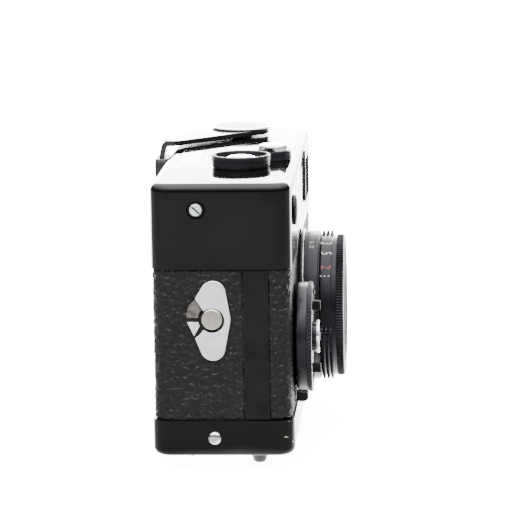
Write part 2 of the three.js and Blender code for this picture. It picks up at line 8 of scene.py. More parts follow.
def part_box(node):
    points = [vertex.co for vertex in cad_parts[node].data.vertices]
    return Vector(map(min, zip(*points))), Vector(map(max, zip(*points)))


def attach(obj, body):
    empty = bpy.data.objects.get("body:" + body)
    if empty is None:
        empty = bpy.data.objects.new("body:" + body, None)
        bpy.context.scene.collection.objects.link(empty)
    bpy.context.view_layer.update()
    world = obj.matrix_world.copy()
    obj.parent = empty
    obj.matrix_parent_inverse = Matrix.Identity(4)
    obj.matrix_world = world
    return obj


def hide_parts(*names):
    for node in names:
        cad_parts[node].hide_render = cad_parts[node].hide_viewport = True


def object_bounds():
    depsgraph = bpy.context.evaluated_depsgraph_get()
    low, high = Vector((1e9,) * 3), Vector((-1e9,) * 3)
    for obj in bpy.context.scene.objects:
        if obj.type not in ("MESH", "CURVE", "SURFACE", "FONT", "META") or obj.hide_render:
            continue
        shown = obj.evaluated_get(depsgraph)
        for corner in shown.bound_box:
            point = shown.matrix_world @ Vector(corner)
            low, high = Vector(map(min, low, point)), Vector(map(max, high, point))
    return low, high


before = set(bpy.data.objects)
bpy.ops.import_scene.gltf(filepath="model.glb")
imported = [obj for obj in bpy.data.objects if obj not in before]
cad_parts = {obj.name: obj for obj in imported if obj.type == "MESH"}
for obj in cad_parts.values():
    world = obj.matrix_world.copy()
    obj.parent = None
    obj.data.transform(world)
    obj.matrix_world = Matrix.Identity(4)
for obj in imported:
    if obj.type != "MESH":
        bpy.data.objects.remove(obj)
cad_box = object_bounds()

# ---------------------------------------------------------------- frame and sizes (millimetres)

MM = 0.001
pan_low, pan_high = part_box("base_pan")
DATUM = Vector(((pan_low.x + pan_high.x) / 2, (pan_low.y + pan_high.y) / 2, pan_low.z))
TO_FRAME = Matrix.Translation(DATUM) @ Matrix.Diagonal((MM, MM, MM, 1))


def low_mm(node):
    return (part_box(node)[0] - DATUM) / MM


def high_mm(node):
    return (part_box(node)[1] - DATUM) / MM


def centre_mm(node):
    return (low_mm(node) + high_mm(node)) / 2


HALF_LENGTH = high_mm("top_cover").x
HEIGHT = high_mm("top_cover").z
COVER_BASE = low_mm("top_cover").z
COVER_DEPTH = high_mm("top_cover").y
PAN_TOP = high_mm("base_pan").z
PAN_DEPTH = high_mm("base_pan").y
SKIN_LENGTH = high_mm("back_leatherette").x
SKIN_DEPTH = high_mm("back_leatherette").y
SKIN_LOW = low_mm("back_leatherette").z
SKIN_HIGH = high_mm("back_leatherette").z
BACK_SPLIT = low_mm("back_leatherette").y
RAIL_FRONT = high_mm("front_leatherette").y
CORNER = 4.0
TOP_EDGE = 1.8
PAN_EDGE = 1.7
WALL = 1.0

LENS = centre_mm("focus_ring")
DIAL = centre_mm("aperture_dial")
SPEED = centre_mm("shutter_speed_dial")
RELEASE = centre_mm("release_collar")
LENS_RELEASE = centre_mm("lens_release_collar")
LEVER = centre_mm("advance_cap")
TIP = centre_mm("advance_tip")
CELL = centre_mm("meter_cell_ring")
REWIND = centre_mm("rewind_disc")
TRIPOD = centre_mm("tripod_socket")
LOCK = centre_mm("lock_key")
COUNTER = centre_mm("counter_window")
SCREW = centre_mm("side_screw_cassette_end")
STUD = centre_mm("strap_stud")
CASE_STUD = centre_mm("case_stud")

# ---------------------------------------------------------------- materials


def link(tree, source, target):
    tree.links.new(source, target)


def ramp(tree, value, low, high, low_out, high_out):
    node = tree.nodes.new("ShaderNodeMapRange")
    node.inputs["From Min"].default_value = low
    node.inputs["From Max"].default_value = high
    node.inputs["To Min"].default_value = low_out
    node.inputs["To Max"].default_value = high_out
    link(tree, value, node.inputs["Value"])
    return node.outputs["Result"]


def place(tree, stretch=(1, 1, 1)):
    coords = tree.nodes.new("ShaderNodeTexCoord")
    mapping = tree.nodes.new("ShaderNodeMapping")
    mapping.inputs["Scale"].default_value = stretch
    link(tree, coords.outputs["Object"], mapping.inputs["Vector"])
    return mapping.outputs["Vector"]


def cloud(tree, scale, detail=4.0, stretch=(1, 1, 1), roughness=0.55):
    node = tree.nodes.new("ShaderNodeTexNoise")
    node.inputs["Scale"].default_value = scale
    node.inputs["Detail"].default_value = detail
    node.inputs["Roughness"].default_value = roughness
    link(tree, place(tree, stretch), node.inputs["Vector"])
    return node.outputs["Fac"]


def colour_mix(tree, factor, first, second):
    node = tree.nodes.new("ShaderNodeMix")
    node.data_type = "RGBA"
    node.inputs[6].default_value = (*first, 1)
    node.inputs[7].default_value = (*second, 1)
    link(tree, factor, node.inputs[0])
    return node.outputs[2]


def finish(name, dark, light, rough, mottle=220, grain=2500, grain_stretch=(1, 1, 1),
           bump=0.1, bump_depth=0.00002, metallic=0.0, speck=0.0, gloss_spread=0.03, **constants):
    """A surface with mottled colour, uneven gloss and a fine relief; constants go on the shader's sockets."""
    material = bpy.data.materials.new(name)
    material.use_nodes = True
    tree = material.node_tree
    shader = tree.nodes["Principled BSDF"]
    shader.inputs["Metallic"].default_value = metallic
    for socket, value in constants.items():
        shader.inputs[socket.replace("_", " ")].default_value = value
    blotch = cloud(tree, mottle)
    colour = colour_mix(tree, ramp(tree, blotch, 0.35, 0.65, 0, 1), dark, light)
    if speck:
        dust = ramp(tree, cloud(tree, 2600, 2), 0.72, 0.78, 0, speck)
        node = tree.nodes.new("ShaderNodeMix")
        node.data_type = "RGBA"
        node.inputs[7].default_value = (0.32, 0.31, 0.29, 1)
        link(tree, dust, node.inputs[0])
        link(tree, colour, node.inputs[6])
        colour = node.outputs[2]
    link(tree, colour, shader.inputs["Base Color"])
    fine = cloud(tree, grain, 3, grain_stretch)
    uneven = tree.nodes.new("ShaderNodeMath")
    uneven.operation = "ADD"
    link(tree, ramp(tree, blotch, 0.3, 0.7, rough[0], rough[1]), uneven.inputs[0])
    link(tree, ramp(tree, fine, 0.3, 0.7, -gloss_spread, gloss_spread), uneven.inputs[1])
    link(tree, uneven.outputs[0], shader.inputs["Roughness"])
    relief = tree.nodes.new("ShaderNodeBump")
    relief.inputs["Strength"].default_value = bump
    relief.inputs["Distance"].default_value = bump_depth
    link(tree, fine, relief.inputs["Height"])
    link(tree, relief.outputs["Normal"], shader.inputs["Normal"])
    return material


def leather_finish():
    """Black leather-grain vinyl: the swells are in the mesh, the creases between the pebbles are here."""
    material = finish(
        "leatherette", (0.0024, 0.0022, 0.0019), (0.0058, 0.0052, 0.0044), (0.42, 0.54),
        mottle=700, grain=5200, bump=0.2, bump_depth=0.00003, Specular_IOR_Level=0.28,
    )
    tree = material.node_tree
    shader = tree.nodes["Principled BSDF"]
    fine = shader.inputs["Normal"].links[0].from_socket
    warp = tree.nodes.new("ShaderNodeTexNoise")
    warp.inputs["Scale"].default_value = 420
    link(tree, place(tree), warp.inputs["Vector"])
    shift = tree.nodes.new("ShaderNodeVectorMath")
    shift.operation = "MULTIPLY_ADD"
    shift.inputs[1].default_value = (0.0019, 0.0019, 0.0019)
    link(tree, warp.outputs["Color"], shift.inputs[0])
    link(tree, place(tree), shift.inputs[2])
    cells = tree.nodes.new("ShaderNodeTexVoronoi")
    cells.feature = "DISTANCE_TO_EDGE"
    cells.inputs["Scale"].default_value = 620
    link(tree, shift.outputs["Vector"], cells.inputs["Vector"])
    crease = ramp(tree, cells.outputs["Distance"], 0.0, 0.26, 0.0, 1.0)
    relief = tree.nodes.new("ShaderNodeBump")
    relief.inputs["Strength"].default_value = 1.0
    relief.inputs["Distance"].default_value = 0.00015
    link(tree, crease, relief.inputs["Height"])
    link(tree, fine, relief.inputs["Normal"])
    link(tree, relief.outputs["Normal"], shader.inputs["Normal"])
    return material


def glass(name, tint, roughness=0.02, coat=0.0):
    material = bpy.data.materials.new(name)
    material.use_nodes = True
    tree = material.node_tree
    shader = tree.nodes["Principled BSDF"]
    shader.inputs["Transmission Weight"].default_value = 1.0
    shader.inputs["IOR"].default_value = 1.52
    shader.inputs["Coat Weight"].default_value = coat
    smear = cloud(tree, 300)
    link(tree, colour_mix(tree, smear, tint, tuple(0.97 * c for c in tint)), shader.inputs["Base Color"])
    link(tree, ramp(tree, smear, 0.45, 0.75, roughness, roughness + 0.04), shader.inputs["Roughness"])
    return material


ENAMEL = finish("black_enamel", (0.0012, 0.0011, 0.0010), (0.002, 0.0018, 0.0015), (0.03, 0.06),
                mottle=90, grain=500, bump=0.02, bump_depth=0.00003, gloss_spread=0.012,
                Specular_IOR_Level=0.2)
LEATHER = leather_finish()
ANODISED = finish("black_anodised", (0.006, 0.006, 0.007), (0.010, 0.009, 0.011), (0.24, 0.34),
                  grain=4200, bump=0.15, speck=0.1, Specular_IOR_Level=0.14, Specular_Tint=(0.93, 0.90, 1.0, 1))
DIAL_BLACK = finish("dial_black", (0.006, 0.006, 0.007), (0.010, 0.009, 0.011), (0.20, 0.30),
                    grain=4200, bump=0.1, speck=0.1, Specular_IOR_Level=0.22, Specular_Tint=(0.93, 0.90, 1.0, 1))
MATT = finish("matt_black_paint", (0.008, 0.008, 0.008), (0.014, 0.014, 0.013), (0.5, 0.62), bump=0.2)
RAIL = finish("satin_black_paint", (0.003, 0.003, 0.0028), (0.005, 0.005, 0.0045), (0.42, 0.54),
              grain=3000, bump=0.1, Specular_IOR_Level=0.15)
PLATE = finish("satin_plate", (0.60, 0.64, 0.67), (0.73, 0.77, 0.80), (0.34, 0.46), mottle=500, grain=6500,
               bump=0.35, bump_depth=0.00003, metallic=0.6)
GLOSS_BLACK = finish("black_gloss_paint", (0.004, 0.004, 0.004), (0.007, 0.007, 0.007), (0.08, 0.14),
                     grain=1500, bump=0.05, gloss_spread=0.02)
CHROME = finish("chrome", (0.78, 0.78, 0.80), (0.86, 0.86, 0.87), (0.06, 0.13), bump=0.04, metallic=1.0)
SATIN = finish("satin_chrome", (0.58, 0.60, 0.63), (0.72, 0.74, 0.77), (0.30, 0.42), grain=6000,
               bump=0.3, bump_depth=0.00003, metallic=1.0)
WARM_STEEL = finish("warm_steel", (0.52, 0.49, 0.43), (0.68, 0.65, 0.58), (0.33, 0.45), mottle=700,
                    grain=5000, bump=0.4, bump_depth=0.00004, metallic=1.0)
# darker copy of the plate steel for the upper strap jaw: painted shade, for a jaw that faces down away from the light
JAW_SHADE = finish("painted_shade_steel", (0.12, 0.11, 0.10), (0.24, 0.225, 0.205), (0.35, 0.5), mottle=900,
                   grain=5000, bump=0.4, bump_depth=0.00004, metallic=0.9)
BRASS = finish("brass", (0.50, 0.36, 0.15), (0.62, 0.47, 0.22), (0.25, 0.4), bump=0.2, metallic=1.0)
CAST = finish("cast_alloy", (0.16, 0.165, 0.17), (0.26, 0.265, 0.27), (0.5, 0.7), grain=3500, bump=0.6,
              bump_depth=0.00008, metallic=0.8)
PLASTIC = finish("black_plastic", (0.010, 0.010, 0.010), (0.016, 0.016, 0.016), (0.34, 0.46), bump=0.15)
WHITE_PRINT = finish("white_print", (0.70, 0.69, 0.66), (0.85, 0.84, 0.80), (0.5, 0.6), mottle=1500, bump=0.1)
DIM_PRINT = finish("worn_print", (0.24, 0.23, 0.20), (0.40, 0.385, 0.34), (0.5, 0.6), mottle=1500, bump=0.1)
RED_PRINT = finish("red_print", (0.13, 0.004, 0.003), (0.21, 0.008, 0.005), (0.5, 0.6), mottle=1500, bump=0.1)
CLEAR_GLASS = glass("window_glass", (0.93, 0.96, 0.97))
LENS_GLASS = glass("coated_glass", (0.86, 0.82, 0.97), 0.0, 0.6)
BARE_METAL = finish("bare_brass_chip", (0.42, 0.38, 0.31), (0.66, 0.62, 0.52), (0.3, 0.5), mottle=3000,
                    grain=7000, bump=0.5, metallic=1.0)

# ---------------------------------------------------------------- mesh helpers


def cylinder_frame(axis, origin):
    """Maps a turned form's (x, y, height) to the camera's axes for a form that rises along that axis."""
    columns = {
        "top": ((1, 0, 0), (0, 1, 0), (0, 0, 1)),
        "bottom": ((1, 0, 0), (0, -1, 0), (0, 0, -1)),
        "front": ((1, 0, 0), (0, 0, 1), (0, -1, 0)),
        "back": ((-1, 0, 0), (0, 0, 1), (0, 1, 0)),
        "cassette_end": ((0, 1, 0), (0, 0, -1), (-1, 0, 0)),
        "finder_end": ((0, 1, 0), (0, 0, 1), (1, 0, 0)),
    }[axis]
    turn = Matrix(columns).transposed().to_4x4()
    return Matrix.Translation(Vector(origin)) @ turn


def rounded_profile(profile, radius, steps=3):
    """Rounds the inner corners of a [radius, height] profile with small arcs."""
    if radius <= 0:
        return [Vector(p[:2]) for p in profile]
    closed = tuple(profile[0][:2]) == tuple(profile[-1][:2])
    points = [Vector(p[:2]) for p in (profile[:-1] if closed else profile)]
    count = len(points)
    result = []
    for index, point in enumerate(points):
        if not closed and index in (0, count - 1):
            result.append(point)
            continue
        before = points[index - 1] - point
        after = points[(index + 1) % count] - point
        reach = min(radius, before.length * 0.45, after.length * 0.45)
        start = point + before.normalized() * reach
        end = point + after.normalized() * reach
        for step in range(steps + 1):
            t = step / steps
            result.append(start * (1 - t) ** 2 + point * 2 * t * (1 - t) + end * t ** 2)
    if closed:
        result.append(result[0].copy())
    return result


def turn_form(bm, profile, matrix, segments=96, edge=0.12, relief=None):
    """Turns a profile about the local Z axis. relief(radius, height, angle) gives the surface's radius."""
    points = rounded_profile(profile, edge)
    closed = (points[0] - points[-1]).length < 1e-6
    if closed:
        points = points[:-1]
    loops = []
    for point in points:
        radius, height = point
        if radius < 1e-6:
            loops.append([bm.verts.new(matrix @ Vector((0, 0, height)))])
            continue
        loop = []
        for step in range(segments):
            angle = 2 * math.pi * step / segments
            out = relief(radius, height, angle) if relief else radius
            loop.append(bm.verts.new(matrix @ Vector((out * math.cos(angle), out * math.sin(angle), height))))
        loops.append(loop)
    pairs = list(zip(loops, loops[1:]))
    if closed:
        pairs.append((loops[-1], loops[0]))
    for lower, upper in pairs:
        for step in range(segments):
            following = (step + 1) % segments
            if len(lower) == 1 and len(upper) == 1:
                break
            if len(lower) == 1:
                bm.faces.new((lower[0], upper[step], upper[following]))
            elif len(upper) == 1:
                bm.faces.new((lower[step], lower[following], upper[0]))
            else:
                bm.faces.new((lower[step], lower[following], upper[following], upper[step]))


def slab(bm, outline, low, high, matrix=None):
    """A flat plate between two heights from an outline of (x, y) points."""
    matrix = matrix or Matrix.Identity(4)
    bottom = [bm.verts.new(matrix @ Vector((x, y, low))) for x, y in outline]
    top = [bm.verts.new(matrix @ Vector((x, y, high))) for x, y in outline]
    bm.faces.new(bottom)
    bm.faces.new(top)
    for index in range(len(outline)):
        following = (index + 1) % len(outline)
        bm.faces.new((bottom[index], bottom[following], top[following], top[index]))


def arc(centre_x, centre_y, radius, start, end, steps=12):
    """Points along an arc, angles in degrees."""
    angles = [math.radians(start + (end - start) * step / steps) for step in range(steps + 1)]
    return [(centre_x + radius * math.cos(a), centre_y + radius * math.sin(a)) for a in angles]


def rounded_rectangle(half_x, half_y, radius, steps=10, centre=(0, 0)):
    points = []
    for sign_x, sign_y, start in ((1, 1, 0), (-1, 1, 90), (-1, -1, 180), (1, -1, 270)):
        points += arc(
            centre[0] + sign_x * (half_x - radius), centre[1] + sign_y * (half_y - radius),
            radius, start, start + 90, steps,
        )
    return points


def piece(name, bm, material, body, node=None, smooth=40, edge=0.0, edge_steps=2):
    """Turns a bmesh in millimetres into a finished piece riding on a body."""
    bmesh.ops.remove_doubles(bm, verts=bm.verts, dist=1e-5)
    bmesh.ops.recalc_face_normals(bm, faces=bm.faces)
    bm.transform(TO_FRAME)
    mesh = bpy.data.meshes.new(name)
    bm.to_mesh(mesh)
    bm.free()
    item = bpy.data.objects.new(name, mesh)
    bpy.context.scene.collection.objects.link(item)
    mesh.materials.append(material)
    dress(item, smooth, edge, edge_steps)
    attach(item, body)
    if node:
        for each in [node] if isinstance(node, str) else node:
            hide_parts(each)
    return item


def dress(item, smooth=40, edge=0.0, edge_steps=2):
    """Smooth shading with sharp creases kept, and softened edges where asked."""
    for face in item.data.polygons:
        face.use_smooth = True
    if edge:
        bevel = item.modifiers.new("soft_edge", "BEVEL")
        bevel.width = edge * MM
        bevel.segments = edge_steps
        bevel.limit_method = "ANGLE"
        bevel.angle_limit = math.radians(35)
        bevel.harden_normals = True
    else:
        item.data.set_sharp_from_angle(angle=math.radians(smooth))


def carve(item, bm, keep_edge=0.0):
    """Cuts the solids in bm (millimetres) out of a piece and keeps the result as its mesh."""
    bmesh.ops.recalc_face_normals(bm, faces=bm.faces)
    bm.transform(TO_FRAME)
    mesh = bpy.data.meshes.new("cutter")
    bm.to_mesh(mesh)
    bm.free()
    cutter = bpy.data.objects.new("cutter", mesh)
    bpy.context.scene.collection.objects.link(cutter)
    item.modifiers.clear()
    cut = item.modifiers.new("cut", "BOOLEAN")
    cut.operation = "DIFFERENCE"
    cut.solver = "EXACT"
    cut.object = cutter
    bpy.context.view_layer.update()
    shaped = bpy.data.meshes.new_from_object(item.evaluated_get(bpy.context.evaluated_depsgraph_get()))
    item.modifiers.clear()
    old = item.data
    item.data = shaped
    bpy.data.meshes.remove(old)
    bpy.data.objects.remove(cutter)
    dress(item, 32, keep_edge)


def turned_piece(name, parts, material, body, axis, origin, node=None, segments=96, edge=0.12,
                 relief=None):
    bm = bmesh.new()
    matrix = cylinder_frame(axis, origin)
    for profile in parts:
        turn_form(bm, profile, matrix, segments, edge, relief)
    return piece(name, bm, material, body, node)


def repaint(node, material, edge=0.0):
    """Gives a CAD node its finish, with softened edges as a modifier."""
    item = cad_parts[node]
    item.data.materials.clear()
    item.data.materials.append(material)
    if edge:
        bevel = item.modifiers.new("soft_edge", "BEVEL")
        bevel.width = edge * MM
        bevel.segments = 2
        bevel.limit_method = "ANGLE"
        bevel.angle_limit = math.radians(40)


def lettering(text, size):
    """The outline of some characters as a flat mesh centred on the origin, in millimetres."""
    curve = bpy.data.curves.new("lettering", "FONT")
    curve.body = text
    curve.size = size
    curve.align_x = "CENTER"
    curve.align_y = "CENTER"
    curve.resolution_u = 4
    curve.extrude = 0.012
    item = bpy.data.objects.new("lettering", curve)
    bpy.context.scene.collection.objects.link(item)
    bpy.context.view_layer.update()
    mesh = bpy.data.meshes.new_from_object(item.evaluated_get(bpy.context.evaluated_depsgraph_get()))
    bm = bmesh.new()
    bm.from_mesh(mesh)
    bpy.data.objects.remove(item)
    bpy.data.curves.remove(curve)
    bpy.data.meshes.remove(mesh)
    return bm


NARROW = 0.76


def print_marks(name, marks, material, body, warp):
    """marks: (text, size, x, y, quarter turns). warp maps flat (x, y, z) to the camera's axes."""
    whole = bmesh.new()
    for text, size, x, y, turns in marks:
        glyph = lettering(text, size)
        spin = Matrix.Rotation(turns * math.pi / 2, 4, "Z")
        glyph.transform(Matrix.Translation((x, y, 0)) @ spin @ Matrix.Diagonal((NARROW, 1, 1, 1)))
        kept = {v: whole.verts.new(warp(v.co)) for v in glyph.verts}
        for face in glyph.faces:
            whole.faces.new([kept[v] for v in face.verts])
        glyph.free()
    return piece(name, whole, material, body, None)


def wrap_on_ring(radius, origin):
    """Flat x runs round the ring from its top towards the cassette end, flat y runs forward."""
    matrix = cylinder_frame("front", origin)

    def warp(point):
        angle = math.pi / 2 + point.x / radius
        out = radius + point.z
        return matrix @ Vector((out * math.cos(angle), out * math.sin(angle), point.y))

    return warp


def print_round_face(name, labels, size, radius, start, step, height, axis, origin, material, body):
    """Labels set round a flat dial face, their feet towards the middle."""
    matrix = cylinder_frame(axis, origin)
    whole = bmesh.new()
    for index, text in enumerate(labels):
        angle = math.radians(start + index * step)
        glyph = lettering(text, size)
        turn = Matrix.Rotation(angle - math.pi / 2, 4, "Z")
        move = Matrix.Translation((radius * math.cos(angle), radius * math.sin(angle), height))
        glyph.transform(matrix @ move @ turn)
        kept = {v: whole.verts.new(v.co) for v in glyph.verts}
        for face in glyph.faces:
            whole.faces.new([kept[v] for v in face.verts])
        glyph.free()
    return piece(name, whole, material, body, None)


# ---------------------------------------------------------------- enamelled covers


def shell_mesh(half_depth, base, top, edge, wall, upward):
    """A rounded tub or lid of even wall, open at base, its far edge rounded by a quarter circle."""
    bm = bmesh.new()
    side = 1 if upward else -1
    steps = 8

    def loop(inset, z):
        radius = max(CORNER - inset, 0.4)
        outline = rounded_rectangle(HALF_LENGTH - inset, half_depth - inset, radius)
        return [bm.verts.new(Vector((x, y, z))) for x, y in outline]

    levels = [(wall, base), (0, base), (0, base + side * 0.6), (0, top - side * edge)]
    for step in range(1, steps + 1):
        a = math.pi / 2 * step / steps
        levels.append((edge * (1 - math.cos(a)), top - side * edge * (1 - math.sin(a))))
    outer = [loop(inset, z) for inset, z in levels]
    for lower, upper in zip(outer, outer[1:]):
        for index in range(len(lower)):
            following = (index + 1) % len(lower)
            bm.faces.new((lower[index], lower[following], upper[following], upper[index]))
    bm.faces.new(outer[-1])
    inner = loop(wall, top - side * wall)
    for index in range(len(inner)):
        following = (index + 1) % len(inner)
        bm.faces.new((outer[0][index], outer[0][following], inner[following], inner[index]))
    bm.faces.new(inner)
    return bm


def make_top_cover():
    cover = piece("top_cover_shell", shell_mesh(COVER_DEPTH, COVER_BASE, HEIGHT, TOP_EDGE, WALL, True),
                  ENAMEL, "camera_body", "top_cover")
    cuts = bmesh.new()
    front_window, eyepiece, window = (centre_mm(n) for n in
                                      ("finder_front_window", "finder_eyepiece", "meter_window"))
    front = cylinder_frame("front", (front_window.x, 0, front_window.z))
    slab(cuts, rounded_rectangle(7.7, 5.2, 1.1), 12, 18, front)
    back = cylinder_frame("back", (eyepiece.x, 0, eyepiece.z))
    slab(cuts, rounded_rectangle(4.7, 3.4, 0.9), 12, 18, back)
    turn_form(cuts, [[0, 12], [2.7, 12], [2.7, 18], [0, 18]], cylinder_frame("front", (CELL.x, 0, CELL.z)), 48, 0)
    for spot, radius in ((RELEASE, 3.8), (LENS_RELEASE, 1.8), (LEVER, 2.8)):
        turn_form(cuts, [[0, 57], [radius, 57], [radius, 64], [0, 64]],
                  cylinder_frame("top", (spot.x, spot.y, 0)), 48, 0)
    half = (high_mm("meter_window") - low_mm("meter_window")) / 2
    slab(cuts, rounded_rectangle(half.x + 0.1, half.y + 0.1, 0.6, 6, (window.x, window.y)), 57, 64)
    for axis in ("cassette_end", "finder_end"):
        end = cylinder_frame(axis, (0, SCREW.y, SCREW.z))
        turn_form(cuts, [[0, 46], [1.1, 46], [1.1, HALF_LENGTH - 0.55], [1.75, HALF_LENGTH - 0.5],
                         [2.15, HALF_LENGTH + 0.02], [2.15, 52], [0, 52]], end, 48, 0)
    carve(cover, cuts)


def make_base_pan():
    pan = piece("base_pan_shell", shell_mesh(PAN_DEPTH, PAN_TOP, 0, PAN_EDGE, WALL, False),
                ENAMEL, "back_cover", "base_pan")
    cuts = bmesh.new()
    for spot, radius in ((REWIND, 2.3), (TRIPOD, 4.3), (LOCK, 2.0), (COUNTER, 2.9)):
        turn_form(cuts, [[0, -2], [radius, -2], [radius, 3], [0, 3]],
                  cylinder_frame("top", (spot.x, spot.y, 0)), 48, 0)
    turn_form(cuts, [[0, 46], [0.9, 46], [0.9, 50], [0, 50]],
              cylinder_frame("cassette_end", (0, CASE_STUD.y, CASE_STUD.z)), 24, 0)
    carve(pan, cuts)


def make_paint_chips():
    """Small flakes of bare metal where the enamel has worn through at the pan's front corner."""
    corner_x, corner_y = CORNER - HALF_LENGTH, CORNER - PAN_DEPTH
    for index, (angle, z, width, height) in enumerate((
            (212, 4.35, 0.55, 0.2), (219, 4.2, 0.4, 0.13), (243, 2.9, 0.3, 0.28), (226, 7.7, 0.35, 0.1))):
        bm = bmesh.new()
        a = math.radians(angle)
        out = CORNER + 0.012
        rim = []
        for step in range(11):
            turn = 2 * math.pi * step / 11
            ragged = 0.7 + 0.5 * noise.noise(Vector((index * 7.3, step * 1.9, 0)))
            along = a + ragged * width * math.cos(turn) / CORNER
            rim.append(Vector((corner_x + out * math.cos(along), corner_y + out * math.sin(along),
                               z + ragged * height * math.sin(turn))))
        inward = Vector((math.cos(a), math.sin(a), 0)) * 0.05
        top = [bm.verts.new(p) for p in rim]
        bottom = [bm.verts.new(p - inward) for p in rim]
        bm.faces.new(top)
        bm.faces.new(bottom)
        for step in range(11):
            following = (step + 1) % 11
            bm.faces.new((bottom[step], bottom[following], top[following], top[step]))
        piece(f"paint_chip_{index + 1}", bm, BARE_METAL, "back_cover", None)


# ---------------------------------------------------------------- leatherette

GRAIN_STEP = 0.34


def outline_path(from_front):
    """Plan points round the skin at an even step: the front part or the back part."""
    straight = SKIN_LENGTH - CORNER
    side = -1 if from_front else 1
    start_y = RAIL_FRONT if from_front else BACK_SPLIT
    corner_y = side * (SKIN_DEPTH - CORNER)
    end_run = abs(corner_y - start_y)
    bend = math.pi / 2 * CORNER
    front_run = 2 * straight
    total = 2 * end_run + 2 * bend + front_run
    count = round(total / GRAIN_STEP)
    path = []
    for index in range(count + 1):
        s = total * index / count
        mirrored = s > total / 2
        t = total - s if mirrored else s
        if t < end_run:
            x, y, nx, ny = -SKIN_LENGTH, start_y + side * t, -1.0, 0.0
        elif t < end_run + bend:
            a = (t - end_run) / CORNER
            nx, ny = -math.cos(a), side * math.sin(a)
            x, y = -straight + CORNER * nx, corner_y + CORNER * ny
        else:
            x, y, nx, ny = -straight + (t - end_run - bend), side * SKIN_DEPTH, 0.0, float(side)
        if mirrored:
            x, nx = -x, -nx
        path.append((x, y, nx, ny, s))
    return path


def pebble(s, z, seed):
    """Height of the leather grain in millimetres: swollen cells with creases between them."""
    warp = noise.noise_vector(Vector((s * 0.5, z * 0.5, seed))) * 0.55
    spot = Vector((s * 0.62 + warp.x, z * 0.86 + warp.y, seed))
    distances, _ = noise.voronoi(spot)
    crease = min(1.0, (distances[1] - distances[0]) / 0.32)
    swell = crease * crease * (3 - 2 * crease)
    small = noise.noise(Vector((s * 2.6, z * 2.6, seed + 5)))
    broad = noise.noise(Vector((s * 0.35, z * 0.35, seed + 9)))
    return -0.20 * (1 - swell) + 0.035 * small + 0.03 * broad - 0.02


def make_leather(name, node, body, from_front, seed):
    path = outline_path(from_front)
    rows = round((SKIN_HIGH - SKIN_LOW) / GRAIN_STEP)
    hole_radius = 16.5
    heights = [SKIN_LOW + (SKIN_HIGH - SKIN_LOW) * row / rows for row in range(rows + 1)]

    def in_hole(x, z):
        return from_front and math.hypot(x, z - LENS.z) < hole_radius

    bm = bmesh.new()
    outer, inner = {}, {}
    last = len(path) - 1
    for i, (x, y, nx, ny, s) in enumerate(path):
        for j, z in enumerate(heights):
            margin = min(i, last - i, j, rows - j)
            rise = pebble(s, z, seed) - (0.12 if margin == 0 else 0.0)
            px, pz = x, z
            if from_front and abs(y) > SKIN_DEPTH - 0.01:
                reach = math.hypot(x, z - LENS.z)
                if abs(reach - hole_radius) < GRAIN_STEP * 0.7:
                    px, pz = x * hole_radius / reach, LENS.z + (z - LENS.z) * hole_radius / reach
            outer[i, j] = bm.verts.new((px + nx * rise, y + ny * rise, pz))
            inner[i, j] = bm.verts.new((px - nx * 0.48, y - ny * 0.48, pz))
    kept = {}
    for i in range(last):
        for j in range(rows):
            mid_x = (path[i][0] + path[i + 1][0]) / 2
            kept[i, j] = not in_hole(mid_x, (heights[j] + heights[j + 1]) / 2)
    for (i, j), keep in kept.items():
        if not keep:
            continue
        corners = ((i, j), (i + 1, j), (i + 1, j + 1), (i, j + 1))
        bm.faces.new([outer[c] for c in corners])
        bm.faces.new([inner[c] for c in reversed(corners)])
        sides = (((i, j), (i + 1, j), (i, j - 1)), ((i + 1, j), (i + 1, j + 1), (i + 1, j)),
                 ((i + 1, j + 1), (i, j + 1), (i, j + 1)), ((i, j + 1), (i, j), (i - 1, j)))
        for first, second, neighbour in sides:
            if not kept.get(neighbour, False):
                bm.faces.new((outer[first], inner[first], inner[second], outer[second]))
    loose = [v for v in bm.verts if not v.link_faces]
    bmesh.ops.delete(bm, geom=loose, context="VERTS")
    piece(name, bm, LEATHER, body, node, smooth=60)


# ---------------------------------------------------------------- cassette end details


def screw_piece(axis, node):
    bm = bmesh.new()
    end = cylinder_frame(axis, (0, SCREW.y, SCREW.z))
    head_top = HALF_LENGTH - 0.08
    turn_form(bm, [[0, 45.6], [0.8, 45.6], [0.8, HALF_LENGTH - 0.5], [1.35, HALF_LENGTH - 0.5],
                   [1.35, head_top - 0.15], [1.2, head_top], [0, head_top]], end, 48, 0.06)
    item = piece(f"{node}_head", bm, PLATE, "camera_body", node)
    slot = bmesh.new()
    tilt = Matrix.Rotation(math.radians(-42), 4, "Z")
    slab(slot, [(-2, -0.21), (2, -0.21), (2, 0.21), (-2, 0.21)], head_top - 0.38, head_top + 1, end @ tilt)
    carve(item, slot)
    # a thin matt black slab at the bottom of the screw slot: painted shade darkening the slot's floor
    bm = bmesh.new()
    slab(bm, [(-1.15, -0.2), (1.15, -0.2), (1.15, 0.2), (-1.15, 0.2)], head_top - 0.37, head_top - 0.22, end @ tilt)
    piece(f"{node}_slot_painted_shade", bm, MATT, "camera_body", None)


def hull(points):
    ordered = sorted(set(points))

    def chain(items):
        kept = []
        for p in items:
            while len(kept) > 1 and ((kept[-1][0] - kept[-2][0]) * (p[1] - kept[-2][1])
                                     - (kept[-1][1] - kept[-2][1]) * (p[0] - kept[-2][0])) <= 0:
                kept.pop()
            kept.append(p)
        return kept[:-1]

    return chain(ordered) + chain(ordered[::-1])


def circles(*discs, steps=40):
    points = []
    for x, y, radius in discs:
        points += arc(x, y, radius, 0, 360 - 360 / steps, steps - 1)
    return hull([(round(x, 5), round(y, 5)) for x, y in points])


def end_plane(point, depth):
    """A (y, z) point on the cassette end, at that distance out from the camera's middle."""
    return Vector((-depth, point[0], point[1]))


